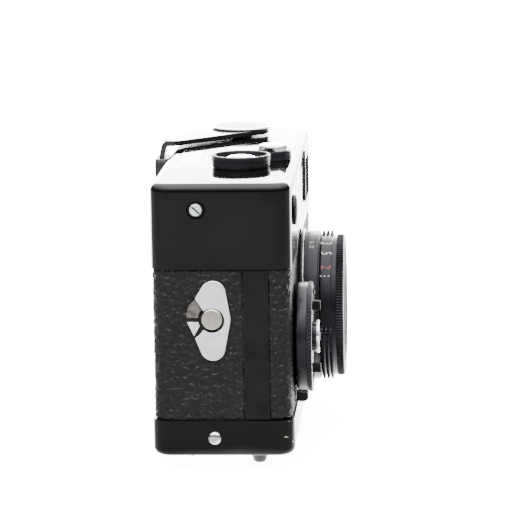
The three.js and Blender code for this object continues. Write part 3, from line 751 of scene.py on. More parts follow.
def solid_on_end(bm, outline, inner, outer):
    """A plate on the cassette end from a (y, z) outline; outer is a depth or a function of the point."""
    depth = outer if callable(outer) else (lambda point: outer)
    low = [bm.verts.new(end_plane(p, inner)) for p in outline]
    high = [bm.verts.new(end_plane(p, depth(p))) for p in outline]
    bm.faces.new(low)
    bm.faces.new(high)
    for index in range(len(outline)):
        following = (index + 1) % len(outline)
        bm.faces.new((low[index], low[following], high[following], high[index]))


def make_strap_plate():
    """A pressed socket plate, its mouth open towards the back, with two sunk jaws in the mouth."""
    outer_face, inner_face = -low_mm("strap_plate").x, -high_mm("strap_plate").x
    upper, lower = centre_mm("strap_rivet_upper"), centre_mm("strap_rivet_lower")
    edge = circles((upper.y, upper.z, 2.8), (lower.y, lower.z, 2.75), (STUD.y - 0.85, STUD.z - 0.1, 3.2),
                   (STUD.y + 4.3, STUD.z + 2.3, 0.9), (STUD.y + 4.9, STUD.z - 0.2, 0.75), steps=72)
    mouth_top, mouth_low = Vector((STUD.y + 3.7, STUD.z + 4.5)), Vector((STUD.y + 3.8, STUD.z - 4.25))
    kept = [p for p in edge if not (p[0] > STUD.y + 1.9 and mouth_low.y < p[1] < mouth_top.y)]
    first = min(range(len(kept)), key=lambda k: (Vector(kept[k]) - mouth_top).length)
    rim = kept[first:] + kept[:first]
    hole = arc(STUD.y, STUD.z - 0.35, 2.66, -48, -312, 33)
    throat_low = [(STUD.y + 2.75, STUD.z - 3.4)]
    throat_top = [(STUD.y + 2.1, STUD.z + 2.1)]
    outline = [tuple(mouth_top), *rim, tuple(mouth_low), *throat_low, *hole, *throat_top]
    bm = bmesh.new()
    solid_on_end(bm, outline, inner_face, outer_face)
    piece("strap_plate_pressed", bm, PLATE, "back_cover", "strap_plate", edge=0.26, edge_steps=3)
    slit = STUD.z - 0.2

    def sloped(point):
        return outer_face - 0.12 - 0.42 * max(0.0, 1 - abs(point[1] - slit) / 3.6)

    upper_jaw = [(STUD.y + 3.62, STUD.z + 4.3), (STUD.y + 5.0, STUD.z + 3.15), (STUD.y + 5.65, STUD.z + 0.9),
                 (STUD.y + 5.5, slit + 0.4), (STUD.y + 3.0, slit + 0.4), (STUD.y + 2.75, STUD.z + 1.35),
                 (STUD.y + 2.3, STUD.z + 1.95)]
    lower_jaw = [(STUD.y + 5.5, slit - 0.5), (STUD.y + 3.95, STUD.z - 3.75), (STUD.y + 2.7, STUD.z - 1.6),
                 (STUD.y + 3.05, slit - 0.5)]
    # the upper jaw takes the darker steel as painted shade; the lower jaw keeps the plate's own finish
    for name, jaw, metal in (("upper", upper_jaw, JAW_SHADE), ("lower", lower_jaw, PLATE)):
        bm = bmesh.new()
        solid_on_end(bm, jaw, inner_face, sloped)
        piece(f"strap_jaw_{name}", bm, metal, "back_cover", None, edge=0.14)


def make_strap_parts():
    base = -high_mm("strap_stud").x
    turned_piece("strap_stud_turned", [[
        [0, base], [1.5, base], [1.5, 48.95], [2.27, 49.05], [2.27, 49.3], [2.0, 49.46], [1.2, 49.5],
        [0.35, 49.5], [0, 49.42]]], WARM_STEEL, "back_cover", "cassette_end", (0, STUD.y, STUD.z),
        "strap_stud", 72, 0.1)
    for node in ("strap_rivet_upper", "strap_rivet_lower"):
        spot = centre_mm(node)
        turned_piece(f"{node}_peened", [[
            [0, 48.9], [1.55, 48.9], [1.55, 49.01], [1.48, 49.045], [1.0, 49.06], [0, 49.05]]],
            PLATE, "back_cover", "cassette_end", (0, spot.y, spot.z), node, 48, 0.05)
    turned_piece("case_stud_dome", [[
        [0, 46.9], [0.75, 46.9], [0.75, 48.52], [1.52, 48.52], [1.5, 48.9], [1.3, 49.25], [0.9, 49.46],
        [0.45, 49.54], [0, 49.55]]], CHROME, "back_cover", "cassette_end", (0, CASE_STUD.y, CASE_STUD.z),
        "case_stud", 64, 0.12)


# ---------------------------------------------------------------- top plate


def make_release():
    top = high_mm("release_collar").z + 0.5
    turned_piece("release_collar_turned", [[
        [3.8, HEIGHT + 0.03], [6.35, HEIGHT + 0.03], [6.5, HEIGHT + 0.4], [6.55, HEIGHT + 1.35],
        [6.46, HEIGHT + 1.43], [6.62, HEIGHT + 1.5], [6.65, top - 0.25], [6.45, top], [6.1, top],
        [5.9, top - 0.3], [5.7, HEIGHT + 0.55], [3.8, HEIGHT + 0.5], [3.8, HEIGHT + 0.03]]],
        ANODISED, "camera_body", "top", (RELEASE.x, RELEASE.y, 0), "release_collar", 96, 0.08)
    crown = high_mm("release_button").z + 0.4
    turned_piece("release_button_domed", [[
        [0, 50.5], [1.2, 50.5], [1.2, 58.4], [3.5, 58.4], [3.5, crown - 0.75], [3.3, crown - 0.45],
        [2.4, crown - 0.12], [1.2, crown], [0.9, crown - 0.05], [0.8, crown - 0.9], [0, crown - 1.2]]],
        CHROME, "release", "top", (RELEASE.x, RELEASE.y, 0), "release_button", 72, 0.15)

    def ribs(radius, height, angle):
        if radius < 3.85 or height < HEIGHT + 0.3 or height > HEIGHT + 1.85:
            return radius
        return radius - 0.16 * (0.5 + 0.5 * math.cos(36 * angle)) ** 2

    rim = high_mm("lens_release_collar").z
    turned_piece("lens_release_collar_ribbed", [[
        [3.6, HEIGHT + 0.03], [4.1, HEIGHT + 0.03], [4.12, HEIGHT + 0.25], [4.1, HEIGHT + 0.35],
        [4.0, rim - 0.3], [3.95, rim - 0.2], [3.9, rim], [3.6, rim], [3.6, HEIGHT + 0.03]]],
        ANODISED, "camera_body", "top", (LENS_RELEASE.x, LENS_RELEASE.y, 0), "lens_release_collar",
        288, 0.05, ribs)
    cap = high_mm("lens_release_button").z
    turned_piece("lens_release_cap", [[
        [0, 55], [1.4, 55], [1.4, 61.7], [3.42, 61.7], [3.42, cap - 0.5], [3.3, cap - 0.2], [2.9, cap],
        [2.4, cap - 0.03], [1.0, cap - 0.2], [0, cap - 0.25]]], CHROME, "lens_release", "top",
        (LENS_RELEASE.x, LENS_RELEASE.y, 0), "lens_release_button", 72, 0.12)


def make_lever():
    arm_low, arm_high = HEIGHT + 0.35, HEIGHT + 1.55
    tip_x = TIP.x - LEVER.x
    reach_y = 14.5
    bm = bmesh.new()
    hub = cylinder_frame("top", (LEVER.x, LEVER.y, 0))
    shape = circles((0, 0, 6.7), (tip_x * 0.55, reach_y * 0.62, 3.7), (tip_x, reach_y, 2.5))
    slab(bm, shape, arm_low, arm_high, hub)
    piece("advance_arm_plate", bm, GLOSS_BLACK, "advance_lever", "advance_arm", edge=0.2,
          edge_steps=3)
    # the arm's end, bent down behind the body in a tight curve
    bm = bmesh.new()
    bend_radius, thick, half_width = 1.7, 1.25, 2.35
    start_y = TIP.y - LEVER.y - bend_radius + 0.35
    tip_top = high_mm("advance_tip").z - 1.3
    path = [(start_y - 1.6, arm_high - 0.05)]
    for step in range(9):
        a = math.pi / 2 * (1 - step / 8)
        path.append((start_y + bend_radius * math.cos(a), arm_high - 0.05 - bend_radius + bend_radius * math.sin(a)))
    path.append((start_y + bend_radius + 0.35, tip_top + 1.0))
    path.append((start_y + bend_radius + 0.55, tip_top - 0.8))
    rings = []
    for index, (y, z) in enumerate(path):
        before = Vector(path[max(index - 1, 0)])
        after = Vector(path[min(index + 1, len(path) - 1)])
        along = (after - before).normalized()
        inward = Vector((along.y, -along.x))
        inner_y, inner_z = y + inward.x * thick, z + inward.y * thick
        rings.append([bm.verts.new(hub @ Vector(p)) for p in (
            (tip_x - half_width, y, z), (tip_x + half_width, y, z),
            (tip_x + half_width, inner_y, inner_z), (tip_x - half_width, inner_y, inner_z))])
    for first, second in zip(rings, rings[1:]):
        for index in range(4):
            following = (index + 1) % 4
            bm.faces.new((first[index], first[following], second[following], second[index]))
    bm.faces.new(rings[0])
    bm.faces.new(rings[-1])
    piece("advance_arm_bend", bm, GLOSS_BLACK, "advance_lever", None, edge=0.12)
    # the moulded finger tip
    bm = bmesh.new()
    low, high = low_mm("advance_tip").z - 0.6, tip_top
    tip = cylinder_frame("top", (TIP.x, TIP.y + 0.15, 0))
    levels = 7
    loops = []
    for level in range(levels):
        t = level / (levels - 1)
        swell = 1 - 0.1 * (2 * t - 1) ** 4
        outline = rounded_rectangle(4.2 * swell, 1.6 * swell, 0.7, 6)
        loops.append([bm.verts.new(tip @ Vector((x, y, low + (high - low) * t))) for x, y in outline])
    for first, second in zip(loops, loops[1:]):
        for index in range(len(first)):
            following = (index + 1) % len(first)
            bm.faces.new((first[index], first[following], second[following], second[index]))
    bm.faces.new(loops[0])
    bm.faces.new(loops[-1])
    piece("advance_tip_moulded", bm, PLASTIC, "advance_lever", "advance_tip", edge=0.22,
          edge_steps=3)
    cap_low, cap_high = low_mm("advance_cap").z, high_mm("advance_cap").z
    turned_piece("advance_cap_rim", [[
        [5.9, cap_low], [7.15, cap_low], [7.4, cap_low + 0.15], [7.4, cap_high - 0.22], [7.1, cap_high - 0.05],
        [6.5, cap_high - 0.02], [6.35, cap_high - 0.12], [5.9, cap_high - 0.12], [5.9, cap_low]]],
        CHROME, "advance_lever", "top", (LEVER.x, LEVER.y, 0), "advance_cap", 120, 0.05)
    turned_piece("advance_cap_disc", [[
        [0, cap_low], [5.88, cap_low], [6.3, cap_high - 0.1], [6.2, cap_high - 0.06], [3.0, cap_high - 0.02],
        [1.2, cap_high], [0.9, cap_high - 0.08], [0, cap_high - 0.08]]],
        DIAL_BLACK, "advance_lever", "top", (LEVER.x, LEVER.y, 0), None, 96, 0.05)


def make_meter_window():
    low, high = low_mm("meter_window"), high_mm("meter_window")
    bm = bmesh.new()
    centre = ((low.x + high.x) / 2, (low.y + high.y) / 2)
    outline = rounded_rectangle((high.x - low.x) / 2, (high.y - low.y) / 2, 0.5, 6, centre)
    slab(bm, outline, low.z, high.z)
    piece("meter_window_pane", bm, CLEAR_GLASS, "camera_body", "meter_window", edge=0.1)
    bm = bmesh.new()
    outer = rounded_rectangle((high.x - low.x) / 2 + 0.9, (high.y - low.y) / 2 + 0.9, 0.9, 6, centre)
    slab(bm, outer, low.z - 3.4, low.z - 3.1)
    piece("meter_scale_card", bm, WHITE_PRINT, "camera_body", None)


def make_cell_window():
    origin = (CELL.x, 0, CELL.z)
    turned_piece("meter_cell_bezel", [[
        [2.2, 14.0], [2.5, 14.0], [2.5, 15.42], [3.3, 15.42], [3.36, 15.6], [3.36, 15.95], [3.1, 16.2],
        [2.75, 16.2], [2.45, 15.85], [2.2, 15.8], [2.2, 14.0]]],
        DIAL_BLACK, "camera_body", "front", origin, "meter_cell_ring", 72, 0.06)
    turned_piece("meter_cell_pane", [[
        [0, 14.4], [2.15, 14.4], [2.15, 15.7], [1.9, 15.78], [1.0, 15.95], [0, 16.0]]],
        CLEAR_GLASS, "camera_body", "front", origin, "meter_cell_window", 48, 0.05)
    bm = bmesh.new()
    for row in range(5):
        y = -1.4 + 0.7 * row
        half = math.sqrt(max(2.0 ** 2 - y * y, 0.1))
        slab(bm, [(-half, y - 0.12), (half, y - 0.12), (half, y + 0.12), (-half, y + 0.12)], 14.05, 14.25,
             cylinder_frame("front", origin))
    piece("meter_cell_grid", bm, BRASS, "camera_body", None)


def make_finder():
    windows = (("finder_front_window", "front", (8.4, 6.0), (7.3, 4.8), 1.35, 15.85, "finder_front"),
               ("finder_eyepiece", "back", (5.4, 4.1), (4.3, 3.0), 0.0, 15.8, "finder_back"))
    for node, axis, outside, inside, lift, proud, name in windows:
        spot = centre_mm(node)
        view = cylinder_frame(axis, (spot.x, 0, spot.z))
        outer = rounded_rectangle(*outside, 1.3, centre=(0, lift))
        step_in = rounded_rectangle(inside[0] + 0.35, inside[1] + 0.35, 0.9)
        inner = rounded_rectangle(inside[0] - 0.1, inside[1] - 0.1, 0.7)
        bm = bmesh.new()
        rings = []
        for outline, height in ((step_in, COVER_DEPTH + 0.03), (outer, COVER_DEPTH + 0.03), (outer, proud),
                                (step_in, proud), (inner, COVER_DEPTH - 0.1), (inner, COVER_DEPTH - 0.6),
                                (step_in, COVER_DEPTH - 0.6)):
            rings.append([bm.verts.new(view @ Vector((x, y, height))) for x, y in outline])
        for first, second in zip(rings, rings[1:] + rings[:1]):
            for index in range(len(first)):
                following = (index + 1) % len(first)
                bm.faces.new((first[index], first[following], second[following], second[index]))
        piece(f"{name}_frame", bm, GLOSS_BLACK, "camera_body", None, edge=0.08)
        bm = bmesh.new()
        slab(bm, rounded_rectangle(inside[0] - 0.15, inside[1] - 0.15, 0.65), 14.4, 15.05, view)
        piece(f"{name}_glass", bm, CLEAR_GLASS, "camera_body", node, edge=0.08)


# ---------------------------------------------------------------- lens


def make_lens():
    origin = (LENS.x, 0, LENS.z)
    mount_radius = (high_mm("lens_mount").x - low_mm("lens_mount").x) / 2
    mount_front = -low_mm("lens_mount").y
    turned_piece("lens_mount_turned", [[
        [14.95, 11.6], [16.0, 11.6], [16.0, PAN_DEPTH + 0.05], [mount_radius, PAN_DEPTH + 0.05],
        [mount_radius, mount_front - 0.15], [mount_radius - 0.2, mount_front], [14.95, mount_front],
        [14.95, 11.6]]], ANODISED, "camera_body", "front", origin, "lens_mount", 160, 0.1)
    turned_piece("lens_mount_edge", [[
        [mount_radius - 0.45, mount_front + 0.02], [mount_radius - 0.2, mount_front + 0.02],
        [mount_radius - 0.24, mount_front + 0.1], [mount_radius - 0.41, mount_front + 0.1],
        [mount_radius - 0.45, mount_front + 0.02]]], CHROME, "camera_body", "front", origin, None,
        160, 0.04)
    scale_radius = (high_mm("distance_scale_ring").x - low_mm("distance_scale_ring").x) / 2
    scale_back, scale_front = -high_mm("distance_scale_ring").y, -low_mm("distance_scale_ring").y
    turned_piece("distance_scale_turned", [[
        [14.75, scale_back], [scale_radius, scale_back], [scale_radius, scale_front - 0.35],
        [scale_radius - 0.3, scale_front - 0.2], [scale_radius - 0.35, scale_front], [14.75, scale_front],
        [14.75, scale_back]]], ANODISED, "lens_barrel", "front", origin, "distance_scale_ring",
        160, 0.08)
    make_focus_ring(origin)
    turned_piece("lens_tube_turned", [[
        [13.6, -6.6], [14.6, -6.6], [14.6, 20.0], [13.6, 20.0], [13.6, -6.6]]],
        SATIN, "lens_barrel", "front", origin, "lens_tube", 128, 0.1)
    turned_piece("lens_cell_turned", [[
        [8.6, 12.4], [13.2, 12.4], [13.2, 23.9], [10.5, 23.9], [10.5, 19.5], [9.8, 19.3], [9.8, 18.7],
        [9.1, 18.5], [9.1, 17.9], [8.6, 17.5], [8.6, 12.4]]],
        MATT, "front_cell", "front", origin, "lens_cell", 96, 0.05)
    turned_piece("front_lens_polished", [[
        [0, 20.6], [4.0, 20.8], [8.0, 21.4], [10.1, 21.9], [10.1, 22.2], [9.0, 22.75], [7.6, 23.25],
        [6.0, 23.7], [4.2, 24.05], [2.2, 24.25], [0, 24.32]]],
        LENS_GLASS, "front_cell", "front", origin, "front_lens", 96, 0.3)
    turned_piece("name_ring_turned", [[
        [9.0, 24.0], [13.2, 24.0], [13.25, 24.9], [12.95, 25.05], [12.5, 24.98], [12.3, 24.8],
        [10.2, 24.45], [9.9, 24.5], [9.6, 24.42], [9.2, 24.3], [9.0, 24.2], [9.0, 24.0]]],
        DIAL_BLACK, "front_cell", "front", origin, "name_ring", 128, 0.05)
    turned_piece("shutter_housing_turned", [[
        [6.0, 3.5], [13.3, 3.5], [13.3, 12.0], [9.0, 12.0], [8.8, 11.0], [7.0, 10.5], [6.0, 10.2], [6.0, 3.5]]],
        MATT, "lens_barrel", "front", origin, "shutter_housing", 72, 0.1)
    turned_piece("rear_lens_polished", [[
        [0, 4.4], [2.4, 4.6], [4.2, 4.95], [5.75, 5.6], [5.75, 7.6], [4.0, 7.9], [2.0, 8.05], [0, 8.1]]],
        LENS_GLASS, "lens_barrel", "front", origin, "rear_lens", 64, 0.2)
    make_iris(origin)


def make_focus_ring(origin):
    flutes = 160
    band = 16.5
    front_face = -low_mm("focus_ring").y
    back_face = -high_mm("focus_ring").y

    def relief(radius, height, angle):
        if radius < 15.9 or height < 23.85 or height > front_face - 0.2:
            return radius
        return radius - 0.34 * (0.5 + 0.5 * math.cos(flutes * angle)) ** 1.4

    turned_piece("focus_ring_fluted", [[
        [13.9, back_face], [band - 0.15, back_face], [band, back_face + 0.12], [band, 22.6], [band - 0.2, 22.75],
        [band - 0.22, 23.0], [band - 0.25, 23.8], [band - 0.1, 23.9], [band - 0.1, 24.0], [band - 0.12, front_face - 0.4],
        [band - 0.16, front_face - 0.26], [band - 0.3, front_face - 0.12], [band - 0.5, front_face], [15.3, front_face],
        [14.9, front_face - 0.25],
        [14.5, front_face - 0.3], [13.9, front_face - 0.75], [13.9, back_face]]],
        ANODISED, "focusing_ring", "front", origin, "focus_ring", flutes * 6, 0.06, relief)
    # two grips of three toothed ridges, on opposite sides of the ring
    matrix = cylinder_frame("front", origin)
    bm = bmesh.new()
    for start, end in ((186, 276), (6, 96)):
        for row in range(3):
            middle = back_face + 0.4 + row * 0.98
            steps = 38 * 4
            rings = []
            for step in range(steps + 1):
                a = math.radians(start + (end - start) * step / steps)
                taper = min(1.0, step / 8, (steps - step) / 8)
                notch = 0.5 - 0.5 * math.cos(step * math.pi / 2)
                crest = band - 0.05 + (0.35 + 0.45 * notch) * taper
                section = ((band - 0.3, -0.4), (crest, -0.2), (crest, 0.2), (band - 0.3, 0.4))
                rings.append([bm.verts.new(matrix @ Vector((r * math.cos(a), r * math.sin(a), middle + h)))
                              for r, h in section])
            for first, second in zip(rings, rings[1:]):
                for index in range(4):
                    following = (index + 1) % 4
                    bm.faces.new((first[index], first[following], second[following], second[index]))
            bm.faces.new(rings[0])
            bm.faces.new(rings[-1])
    piece("focus_ring_grips", bm, ANODISED, "focusing_ring", None, smooth=30)
    warp = wrap_on_ring(band + 0.005, origin)
    middle = (back_face + 22.6) / 2
    metres = (("1", -8.6), ("1.2", -4.8), ("1.5", -0.8), ("2", 2.6), ("3", 6.0), ("5", 9.8))
    white = [(text, 3.3 if len(text) == 1 else 2.2, x, middle, 0) for text, x in metres]
    white += [(".", 3.4, 16.2, middle + 0.7 + dy, 0) for dy in (-0.9, 0.0, 0.9)]
    print_marks("focus_numbers_white", white, DIM_PRINT, "focusing_ring", warp)
    red = [("2", 3.2, 13.9, middle, 0)]
    print_marks("focus_numbers_red", red, RED_PRINT, "focusing_ring", warp)
    scale_radius = (high_mm("distance_scale_ring").x - low_mm("distance_scale_ring").x) / 2
    scale_middle = -centre_mm("distance_scale_ring").y
    stops = ("22", "16", "11", "8", "4", "I", "4", "8", "11", "16", "22")
    depth = [(text, 1.5, (index - 5) * 1.75, scale_middle - 0.1, 0) for index, text in enumerate(stops)]
    depth += [("I", 0.8, (index - 5) * 1.75, scale_middle + 1.2, 0) for index in range(len(stops))]
    print_marks("depth_scale", depth, DIM_PRINT, "lens_barrel",
                wrap_on_ring(scale_radius + 0.005, origin))


def make_iris(origin):
    """Five thin blades lying over one another behind the front cell."""
    matrix = cylinder_frame("front", origin)
    for index in range(5):
        bm = bmesh.new()
        turn = Matrix.Rotation(2 * math.pi * index / 5, 4, "Z")
        outline = arc(0, 0, 8.4, -20, 75, 14) + arc(0, 0, 3.2, 75, -20, 14)
        slab(bm, outline, 11.05 + 0.07 * index, 11.10 + 0.07 * index, matrix @ turn)
        piece(f"iris_blade_{index + 1}", bm, RAIL, "lens_barrel", None)


# ---------------------------------------------------------------- front dials


def make_dial(node, name, body, spot, labels, start, step):
    origin = (spot.x, 0, spot.z)
    radius = (high_mm(node).x - low_mm(node).x) / 2
    back_face, face = 15.9, -low_mm(node).y
    ridges = 84

    def relief(out, height, angle):
        if out < radius - 0.5 or height < face - 1.02 or height > face - 0.22:
            return out
        return out - 0.24 * (0.5 + 0.5 * math.cos(ridges * (angle + (height - face) * 0.055))) ** 1.5

    levels = [[radius, face - 1.0 + 0.16 * k] for k in range(5)]
    turned_piece(f"{name}_knurled", [[
        [0, 13.6], [2.4, 13.6], [2.4, back_face], [radius - 0.45, back_face], [radius - 0.12, back_face + 0.2],
        [radius - 0.1, face - 1.25], [radius - 0.22, face - 1.15], [radius - 0.22, face - 1.05], *levels,
        [radius - 0.05, face - 0.2], [radius - 0.2, face], [10.5, face], [10.3, face - 0.15],
        [10.05, face - 0.8], [0, face - 0.8]]],
        DIAL_BLACK, body, "front", origin, node, ridges * 6, 0.03, relief)
    print_round_face(f"{name}_numbers", labels, 1.25, 11.25, start, step, face + 0.01, "front", origin,
                     WHITE_PRINT, body)


def make_dials():
    apertures = ("2.8", "4", "5.6", "8", "11", "16", "22")
    speeds = ("B", "2", "4", "8", "15", "30", "60", "125", "250", "500")
    make_dial("aperture_dial", "aperture_dial", "aperture_setting", DIAL, apertures, 160, -22)
    make_dial("shutter_speed_dial", "shutter_speed_dial", "shutter_setting", SPEED, speeds, 215, -26)
    face = -low_mm("aperture_dial").y
    for spot, node, body, labels, name in (
            (DIAL, "film_speed_disc", "film_speed_setting", ("25", "50", "100", "200", "400", "800"), "film_speed"),
            (SPEED, "film_reminder_disc", "film_reminder", ("36", "24", "20", "12", "0"), "film_reminder")):
        origin = (spot.x, 0, spot.z)
        turned_piece(f"{name}_plate", [[
            [0, face - 0.78], [9.8, face - 0.78], [9.8, face - 0.55], [9.55, face - 0.4], [7.0, face - 0.38],
            [6.8, face - 0.45], [4.3, face - 0.45], [4.1, face - 0.38], [0, face - 0.38]]],
            SATIN, body, "front", origin, node, 120, 0.05)
        turned_piece(f"{name}_hub", [[
            [0, face - 0.4], [3.3, face - 0.4], [3.3, face + 0.72], [0, face + 0.72]]],
            DIAL_BLACK, body, "front", origin, None, 72, 0.06)
        turned_piece(f"{name}_boss", [[
            [0, face + 0.72], [3.7, face + 0.72], [3.7, face + 1.3], [3.5, face + 1.4], [0.9, face + 1.4],
            [0.7, face + 1.1], [0, face + 1.1]]], CHROME, body, "front", origin, None, 144, 0.06,
            lambda radius, height, angle: radius - (0.32 * abs(math.sin(6 * angle)) if radius > 2.5 else 0))
        print_round_face(f"{name}_numbers", labels, 1.15, 8.4, 90, -38, face - 0.37, "front", origin,
                         MATT, body)
        for sign in (-1, 1):
            matrix = cylinder_frame("front", (spot.x, 0, spot.z + sign * 7.1))
            bm = bmesh.new()
            slab(bm, rounded_rectangle(0.8, 1.05, 0.3, 5), face - 0.42, face + 1.6, matrix)
            piece(f"{name}_lug_{'upper' if sign > 0 else 'lower'}", bm, RAIL, body, None,
                  edge=0.2)
    turned = cylinder_frame("front", (DIAL.x, 0, DIAL.z))
    bm = bmesh.new()
    low = low_mm("aperture_lock").z - DIAL.z
    slab(bm, circles((0, 0, 4.4), (0, -12.4, 1.6)), 15.38, 15.68, turned)
    profile = [(15.38, low + 2.2), (18.0, low + 1.9), (18.0, low + 0.5), (17.4, low), (15.9, low), (15.38, low + 0.6)]
    left = [bm.verts.new(turned @ Vector((-1.4, y, h))) for h, y in profile]
    right = [bm.verts.new(turned @ Vector((1.4, y, h))) for h, y in profile]
    bm.faces.new(left)
    bm.faces.new(right)
    for index in range(len(profile)):
        following = (index + 1) % len(profile)
        bm.faces.new((left[index], left[following], right[following], right[index]))
    piece("aperture_catch_tab", bm, DIAL_BLACK, "aperture_catch", "aperture_lock", edge=0.12)


# ---------------------------------------------------------------- underside


def make_underside():
    plate_face = 0.6
    disc_low = -low_mm("rewind_disc").z
    knob_low, knob_high = -low_mm("crank_knob").z, -high_mm("crank_knob").z
    handle_low, handle_high = low_mm("crank_handle"), high_mm("crank_handle")
    knob = centre_mm("crank_knob")
    pivot = Vector((handle_low.x + 1.6, handle_high.y - 0.5, handle_low.z + 0.5))
    plate_low, plate_high = pivot.z - 0.15, pivot.z + 0.45
    bm = bmesh.new()
    turn_form(bm, [[0, plate_face], [8.8, plate_face], [9.0, plate_face - 0.12], [9.0, 0.2], [8.9, 0.1],
                   [2.0, 0.1], [2.0, -1.6], [0, -1.6]], cylinder_frame("bottom", (REWIND.x, REWIND.y, 0)), 96, 0.05)
    piece("rewind_disc_turned", bm, SATIN, "rewind_crank", "rewind_disc")
    bm = bmesh.new()
    slab(bm, rounded_rectangle(0.4, 0.5, 0.15, 4, (pivot.x + 2.15, pivot.y)), -disc_low, -plate_face - 0.02)
    piece("crank_lug", bm, SATIN, "rewind_crank", None, edge=0.08)
    strip = [p for p in circles((pivot.x, pivot.y, 1.6), (knob.x, knob.y, 2.2), steps=72) if p[1] <= pivot.y]
    bm = bmesh.new()
    slab(bm, strip, plate_low, plate_high)
    piece("crank_handle_pressed", bm, SATIN, "rewind_handle", "crank_handle", edge=0.14)
    barrel = Matrix.Translation(pivot) @ Matrix.Rotation(math.pi / 2, 4, "Y")
    bm = bmesh.new()
    turn_form(bm, [[0, -1.6], [0.5, -1.6], [0.5, 1.6], [0, 1.6]], barrel, 32, 0.08)
    piece("crank_hinge_barrel", bm, SATIN, "rewind_handle", None)
    turned_piece("crank_knob_ribbed", [[
        [0, knob_high], [1.8, knob_high], [1.8, knob_high + 0.3], [1.4, knob_low - 0.3], [1.1, knob_low],
        [0, knob_low]]], GLOSS_BLACK, "rewind_handle", "bottom", (knob.x, knob.y, 0), "crank_knob",
        96, 0.1,
        lambda radius, height, angle: radius - (0.08 * (0.5 + 0.5 * math.cos(16 * angle)) if radius > 1.3 else 0))
    turned_piece("tripod_socket_turned", [[
        [3.1, 1.2], [6.0, 1.2], [6.2, 1.0], [6.2, 0.05], [4.1, 0.05], [4.1, -1.8], [3.1, -1.8],
        *[[3.1 + 0.22 * (k % 2), -1.5 + 0.3 * k] for k in range(8)], [3.1, 1.2]]],
        SATIN, "back_cover", "bottom", (TRIPOD.x, TRIPOD.y, 0), "tripod_socket", 80, 0.06)
    bm = bmesh.new()
    turn_form(bm, [[0, 0.9], [4.3, 0.9], [4.4, 0.75], [4.4, 0.1], [1.7, 0.1], [1.7, -1.8], [0, -1.8]],
              cylinder_frame("bottom", (LOCK.x, LOCK.y, 0)), 64, 0.06)
    slab(bm, rounded_rectangle(3.6, 0.7, 0.5, 5), 0.85, 2.3, cylinder_frame("bottom", (LOCK.x, LOCK.y, 0)))
    piece("lock_key_turned", bm, SATIN, "back_lock", "lock_key")
    shoe_low, shoe_high = low_mm("accessory_shoe"), high_mm("accessory_shoe")
    bm = bmesh.new()
    slab(bm, rounded_rectangle(2.2, 2.2, 0.8, 5, (0, 0.5)), -0.85, -0.6)
    turn_form(bm, [[0, 0.6], [1.3, 0.6], [1.3, 1.1], [0.9, 1.25], [0, 1.3]],
              cylinder_frame("bottom", (0, 0.5, 0)), 40, 0.1)
    piece("shoe_contact", bm, BRASS, "back_cover", None)
    repaint("accessory_shoe", SATIN, 0.15)
    turned_piece("counter_glass", [[
        [0, -0.75], [2.7, -0.75], [2.7, -0.2], [2.5, 0.0], [1.2, 0.08], [0, 0.1]]], CLEAR_GLASS, "back_cover",
        "bottom", (COUNTER.x, COUNTER.y, 0), "counter_window", 48, 0.06)
    disc = centre_mm("counter_disc")
    print_round_face("counter_numbers", ("0", "5", "10", "15", "20", "25", "30", "36"), 1.1, 3.6, 0, -45,
                     -1.19, "bottom", (disc.x, disc.y, 0), MATT, "counter")


# ---------------------------------------------------------------- inner pieces keep their CAD shape


def repaint_inner():
    finishes = {
        "chassis": (CAST, 0.25), "front_panel": (RAIL, 0.0), "back_shell": (MATT, 0.0),
        "finder_tunnel": (MATT, 0.0), "meter_movement": (BRASS, 0.2), "meter_needle": (RED_PRINT, 0.0),
        "match_pointer": (PLASTIC, 0.0), "battery": (SATIN, 0.4), "advance_shaft": (SATIN, 0.1),
        "film_sprocket": (SATIN, 0.1), "takeup_spool": (PLASTIC, 0.2), "pressure_plate": (ANODISED, 0.15),
        "rewind_fork": (SATIN, 0.1), "tube_carrier": (BRASS, 0.15), "counter_disc": (WHITE_PRINT, 0.05),
    }
    for node, (material, edge) in finishes.items():
        repaint(node, material, edge)


# ---------------------------------------------------------------- setting: floor, light, camera


CAMERA_SIDE = 0.22
FAR_SIDE = 24.0
OVERHEAD = 6.5
FLOOR_GLOW = 9.0
BACKDROP = 13.0
FLOOR_TONE = (0.93, 0.93, 0.93)
FLOOR_SHADE = (0.18, 0.18, 0.18)


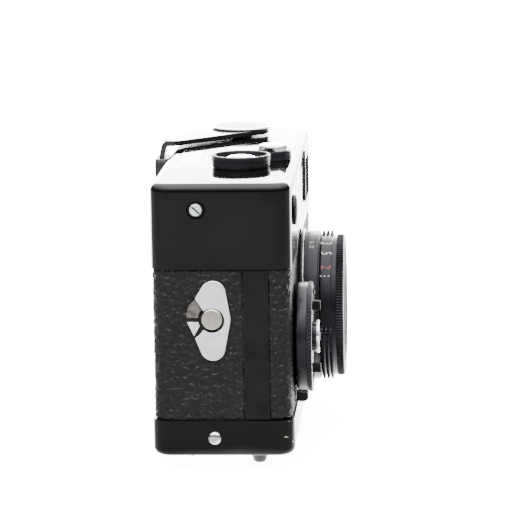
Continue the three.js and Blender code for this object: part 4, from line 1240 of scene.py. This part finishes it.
def make_floor():
    bm = bmesh.new()
    bmesh.ops.create_grid(bm, x_segments=8, y_segments=8, size=6.0)
    mesh = bpy.data.meshes.new("floor")
    bm.to_mesh(mesh)
    bm.free()
    floor = bpy.data.objects.new("floor", mesh)
    bpy.context.scene.collection.objects.link(floor)
    floor.location.z = cad_box[0].z
    material = bpy.data.materials.new("pale_floor")
    material.use_nodes = True
    tree = material.node_tree
    shader = tree.nodes["Principled BSDF"]
    shader.inputs["Roughness"].default_value = 0.9
    shader.inputs["Specular IOR Level"].default_value = 0.0
    shader.inputs["Emission Color"].default_value = (1, 1, 1, 1)
    seen = tree.nodes.new("ShaderNodeLightPath").outputs["Is Camera Ray"]
    link(tree, colour_mix(tree, seen, FLOOR_SHADE, FLOOR_TONE), shader.inputs["Base Color"])
    split = tree.nodes.new("ShaderNodeSeparateXYZ")
    link(tree, place(tree), split.inputs[0])
    aside = tree.nodes.new("ShaderNodeMath")
    aside.operation = "ABSOLUTE"
    link(tree, split.outputs["Y"], aside.inputs[0])
    beyond = tree.nodes.new("ShaderNodeMath")
    beyond.operation = "MULTIPLY_ADD"
    beyond.inputs[1].default_value = -0.9
    link(tree, aside.outputs[0], beyond.inputs[0])
    link(tree, split.outputs["X"], beyond.inputs[2])
    glow = tree.nodes.new("ShaderNodeMix")
    glow.data_type = "FLOAT"
    glow.inputs[3].default_value = BACKDROP
    link(tree, seen, glow.inputs[0])
    link(tree, ramp(tree, beyond.outputs[0], -0.07, -0.01, 0.0, FLOOR_GLOW), glow.inputs[2])
    link(tree, glow.outputs[0], shader.inputs["Emission Strength"])
    mesh.materials.append(material)


def make_world():
    """A white studio all round, with a dimmer side where the photographer stands."""
    world = bpy.data.worlds.new("studio")
    bpy.context.scene.world = world
    world.use_nodes = True
    tree = world.node_tree
    background = tree.nodes["Background"]
    coords = tree.nodes.new("ShaderNodeTexCoord")
    split = tree.nodes.new("ShaderNodeSeparateXYZ")
    link(tree, coords.outputs["Generated"], split.inputs[0])
    far = ramp(tree, split.outputs["X"], 0.78, 0.95, CAMERA_SIDE, FAR_SIDE)
    above = ramp(tree, split.outputs["Z"], 0.35, 0.8, 0.0, OVERHEAD)
    level = tree.nodes.new("ShaderNodeMath")
    level.operation = "MAXIMUM"
    link(tree, far, level.inputs[0])
    link(tree, above, level.inputs[1])
    path = tree.nodes.new("ShaderNodeLightPath")
    seen = tree.nodes.new("ShaderNodeMix")
    seen.data_type = "FLOAT"
    seen.inputs[3].default_value = BACKDROP
    link(tree, path.outputs["Is Camera Ray"], seen.inputs[0])
    link(tree, level.outputs[0], seen.inputs[2])
    background.inputs["Color"].default_value = (1, 1, 1, 1)
    link(tree, seen.outputs[0], background.inputs["Strength"])


def area_light(name, location, target, size, power):
    data = bpy.data.lights.new(name, "AREA")
    data.shape = "RECTANGLE"
    data.size, data.size_y = size
    data.energy = power
    lamp = bpy.data.objects.new(name, data)
    bpy.context.scene.collection.objects.link(lamp)
    lamp.location = location
    lamp.rotation_mode = "QUATERNION"
    lamp.rotation_quaternion = (Vector(target) - Vector(location)).to_track_quat("-Z", "Y")
    return lamp


def make_lights():
    middle = DATUM + Vector((0, 0, 30)) * MM
    area_light("overhead", middle + Vector((-0.15, -0.05, 0.9)), middle, (0.9, 0.9), 9.0)
    key = area_light("key", middle + Vector((-0.85, 0.35, 0.62)), middle, (0.45, 0.35), 26.0)
    key.visible_glossy = False


def make_camera():
    """The photographer's place: off the cassette end, slightly forward and above."""
    distance, azimuth, elevation, roll = 681.7, math.radians(3.48), math.radians(9.846), math.radians(-0.843)
    target = DATUM + Vector((0, -6.13, 34.91)) * MM
    back = Vector((-math.cos(azimuth) * math.cos(elevation), -math.sin(azimuth) * math.cos(elevation),
                   math.sin(elevation)))
    data = bpy.data.cameras.new("camera")
    data.sensor_width = 36
    data.lens = 200.64
    data.clip_start, data.clip_end = 0.01, 50
    camera = bpy.data.objects.new("camera", data)
    bpy.context.scene.collection.objects.link(camera)
    camera.location = target + back * distance * MM
    camera.rotation_mode = "QUATERNION"
    look = (-back).to_track_quat("-Z", "Y")
    camera.rotation_quaternion = look @ Matrix.Rotation(roll, 3, "Z").to_quaternion()
    bpy.context.scene.camera = camera


# ---------------------------------------------------------------- assembly

make_camera()
make_world()
make_lights()
make_floor()
make_top_cover()
make_base_pan()
make_paint_chips()
make_leather("front_leatherette_grain", "front_leatherette", "camera_body", True, 3.1)
make_leather("back_leatherette_grain", "back_leatherette", "back_cover", False, 11.7)
screw_piece("cassette_end", "side_screw_cassette_end")
screw_piece("finder_end", "side_screw_finder_end")
make_strap_plate()
make_strap_parts()
make_release()
make_lever()
make_meter_window()
make_cell_window()
make_finder()
make_lens()
make_dials()
make_underside()
repaint_inner()
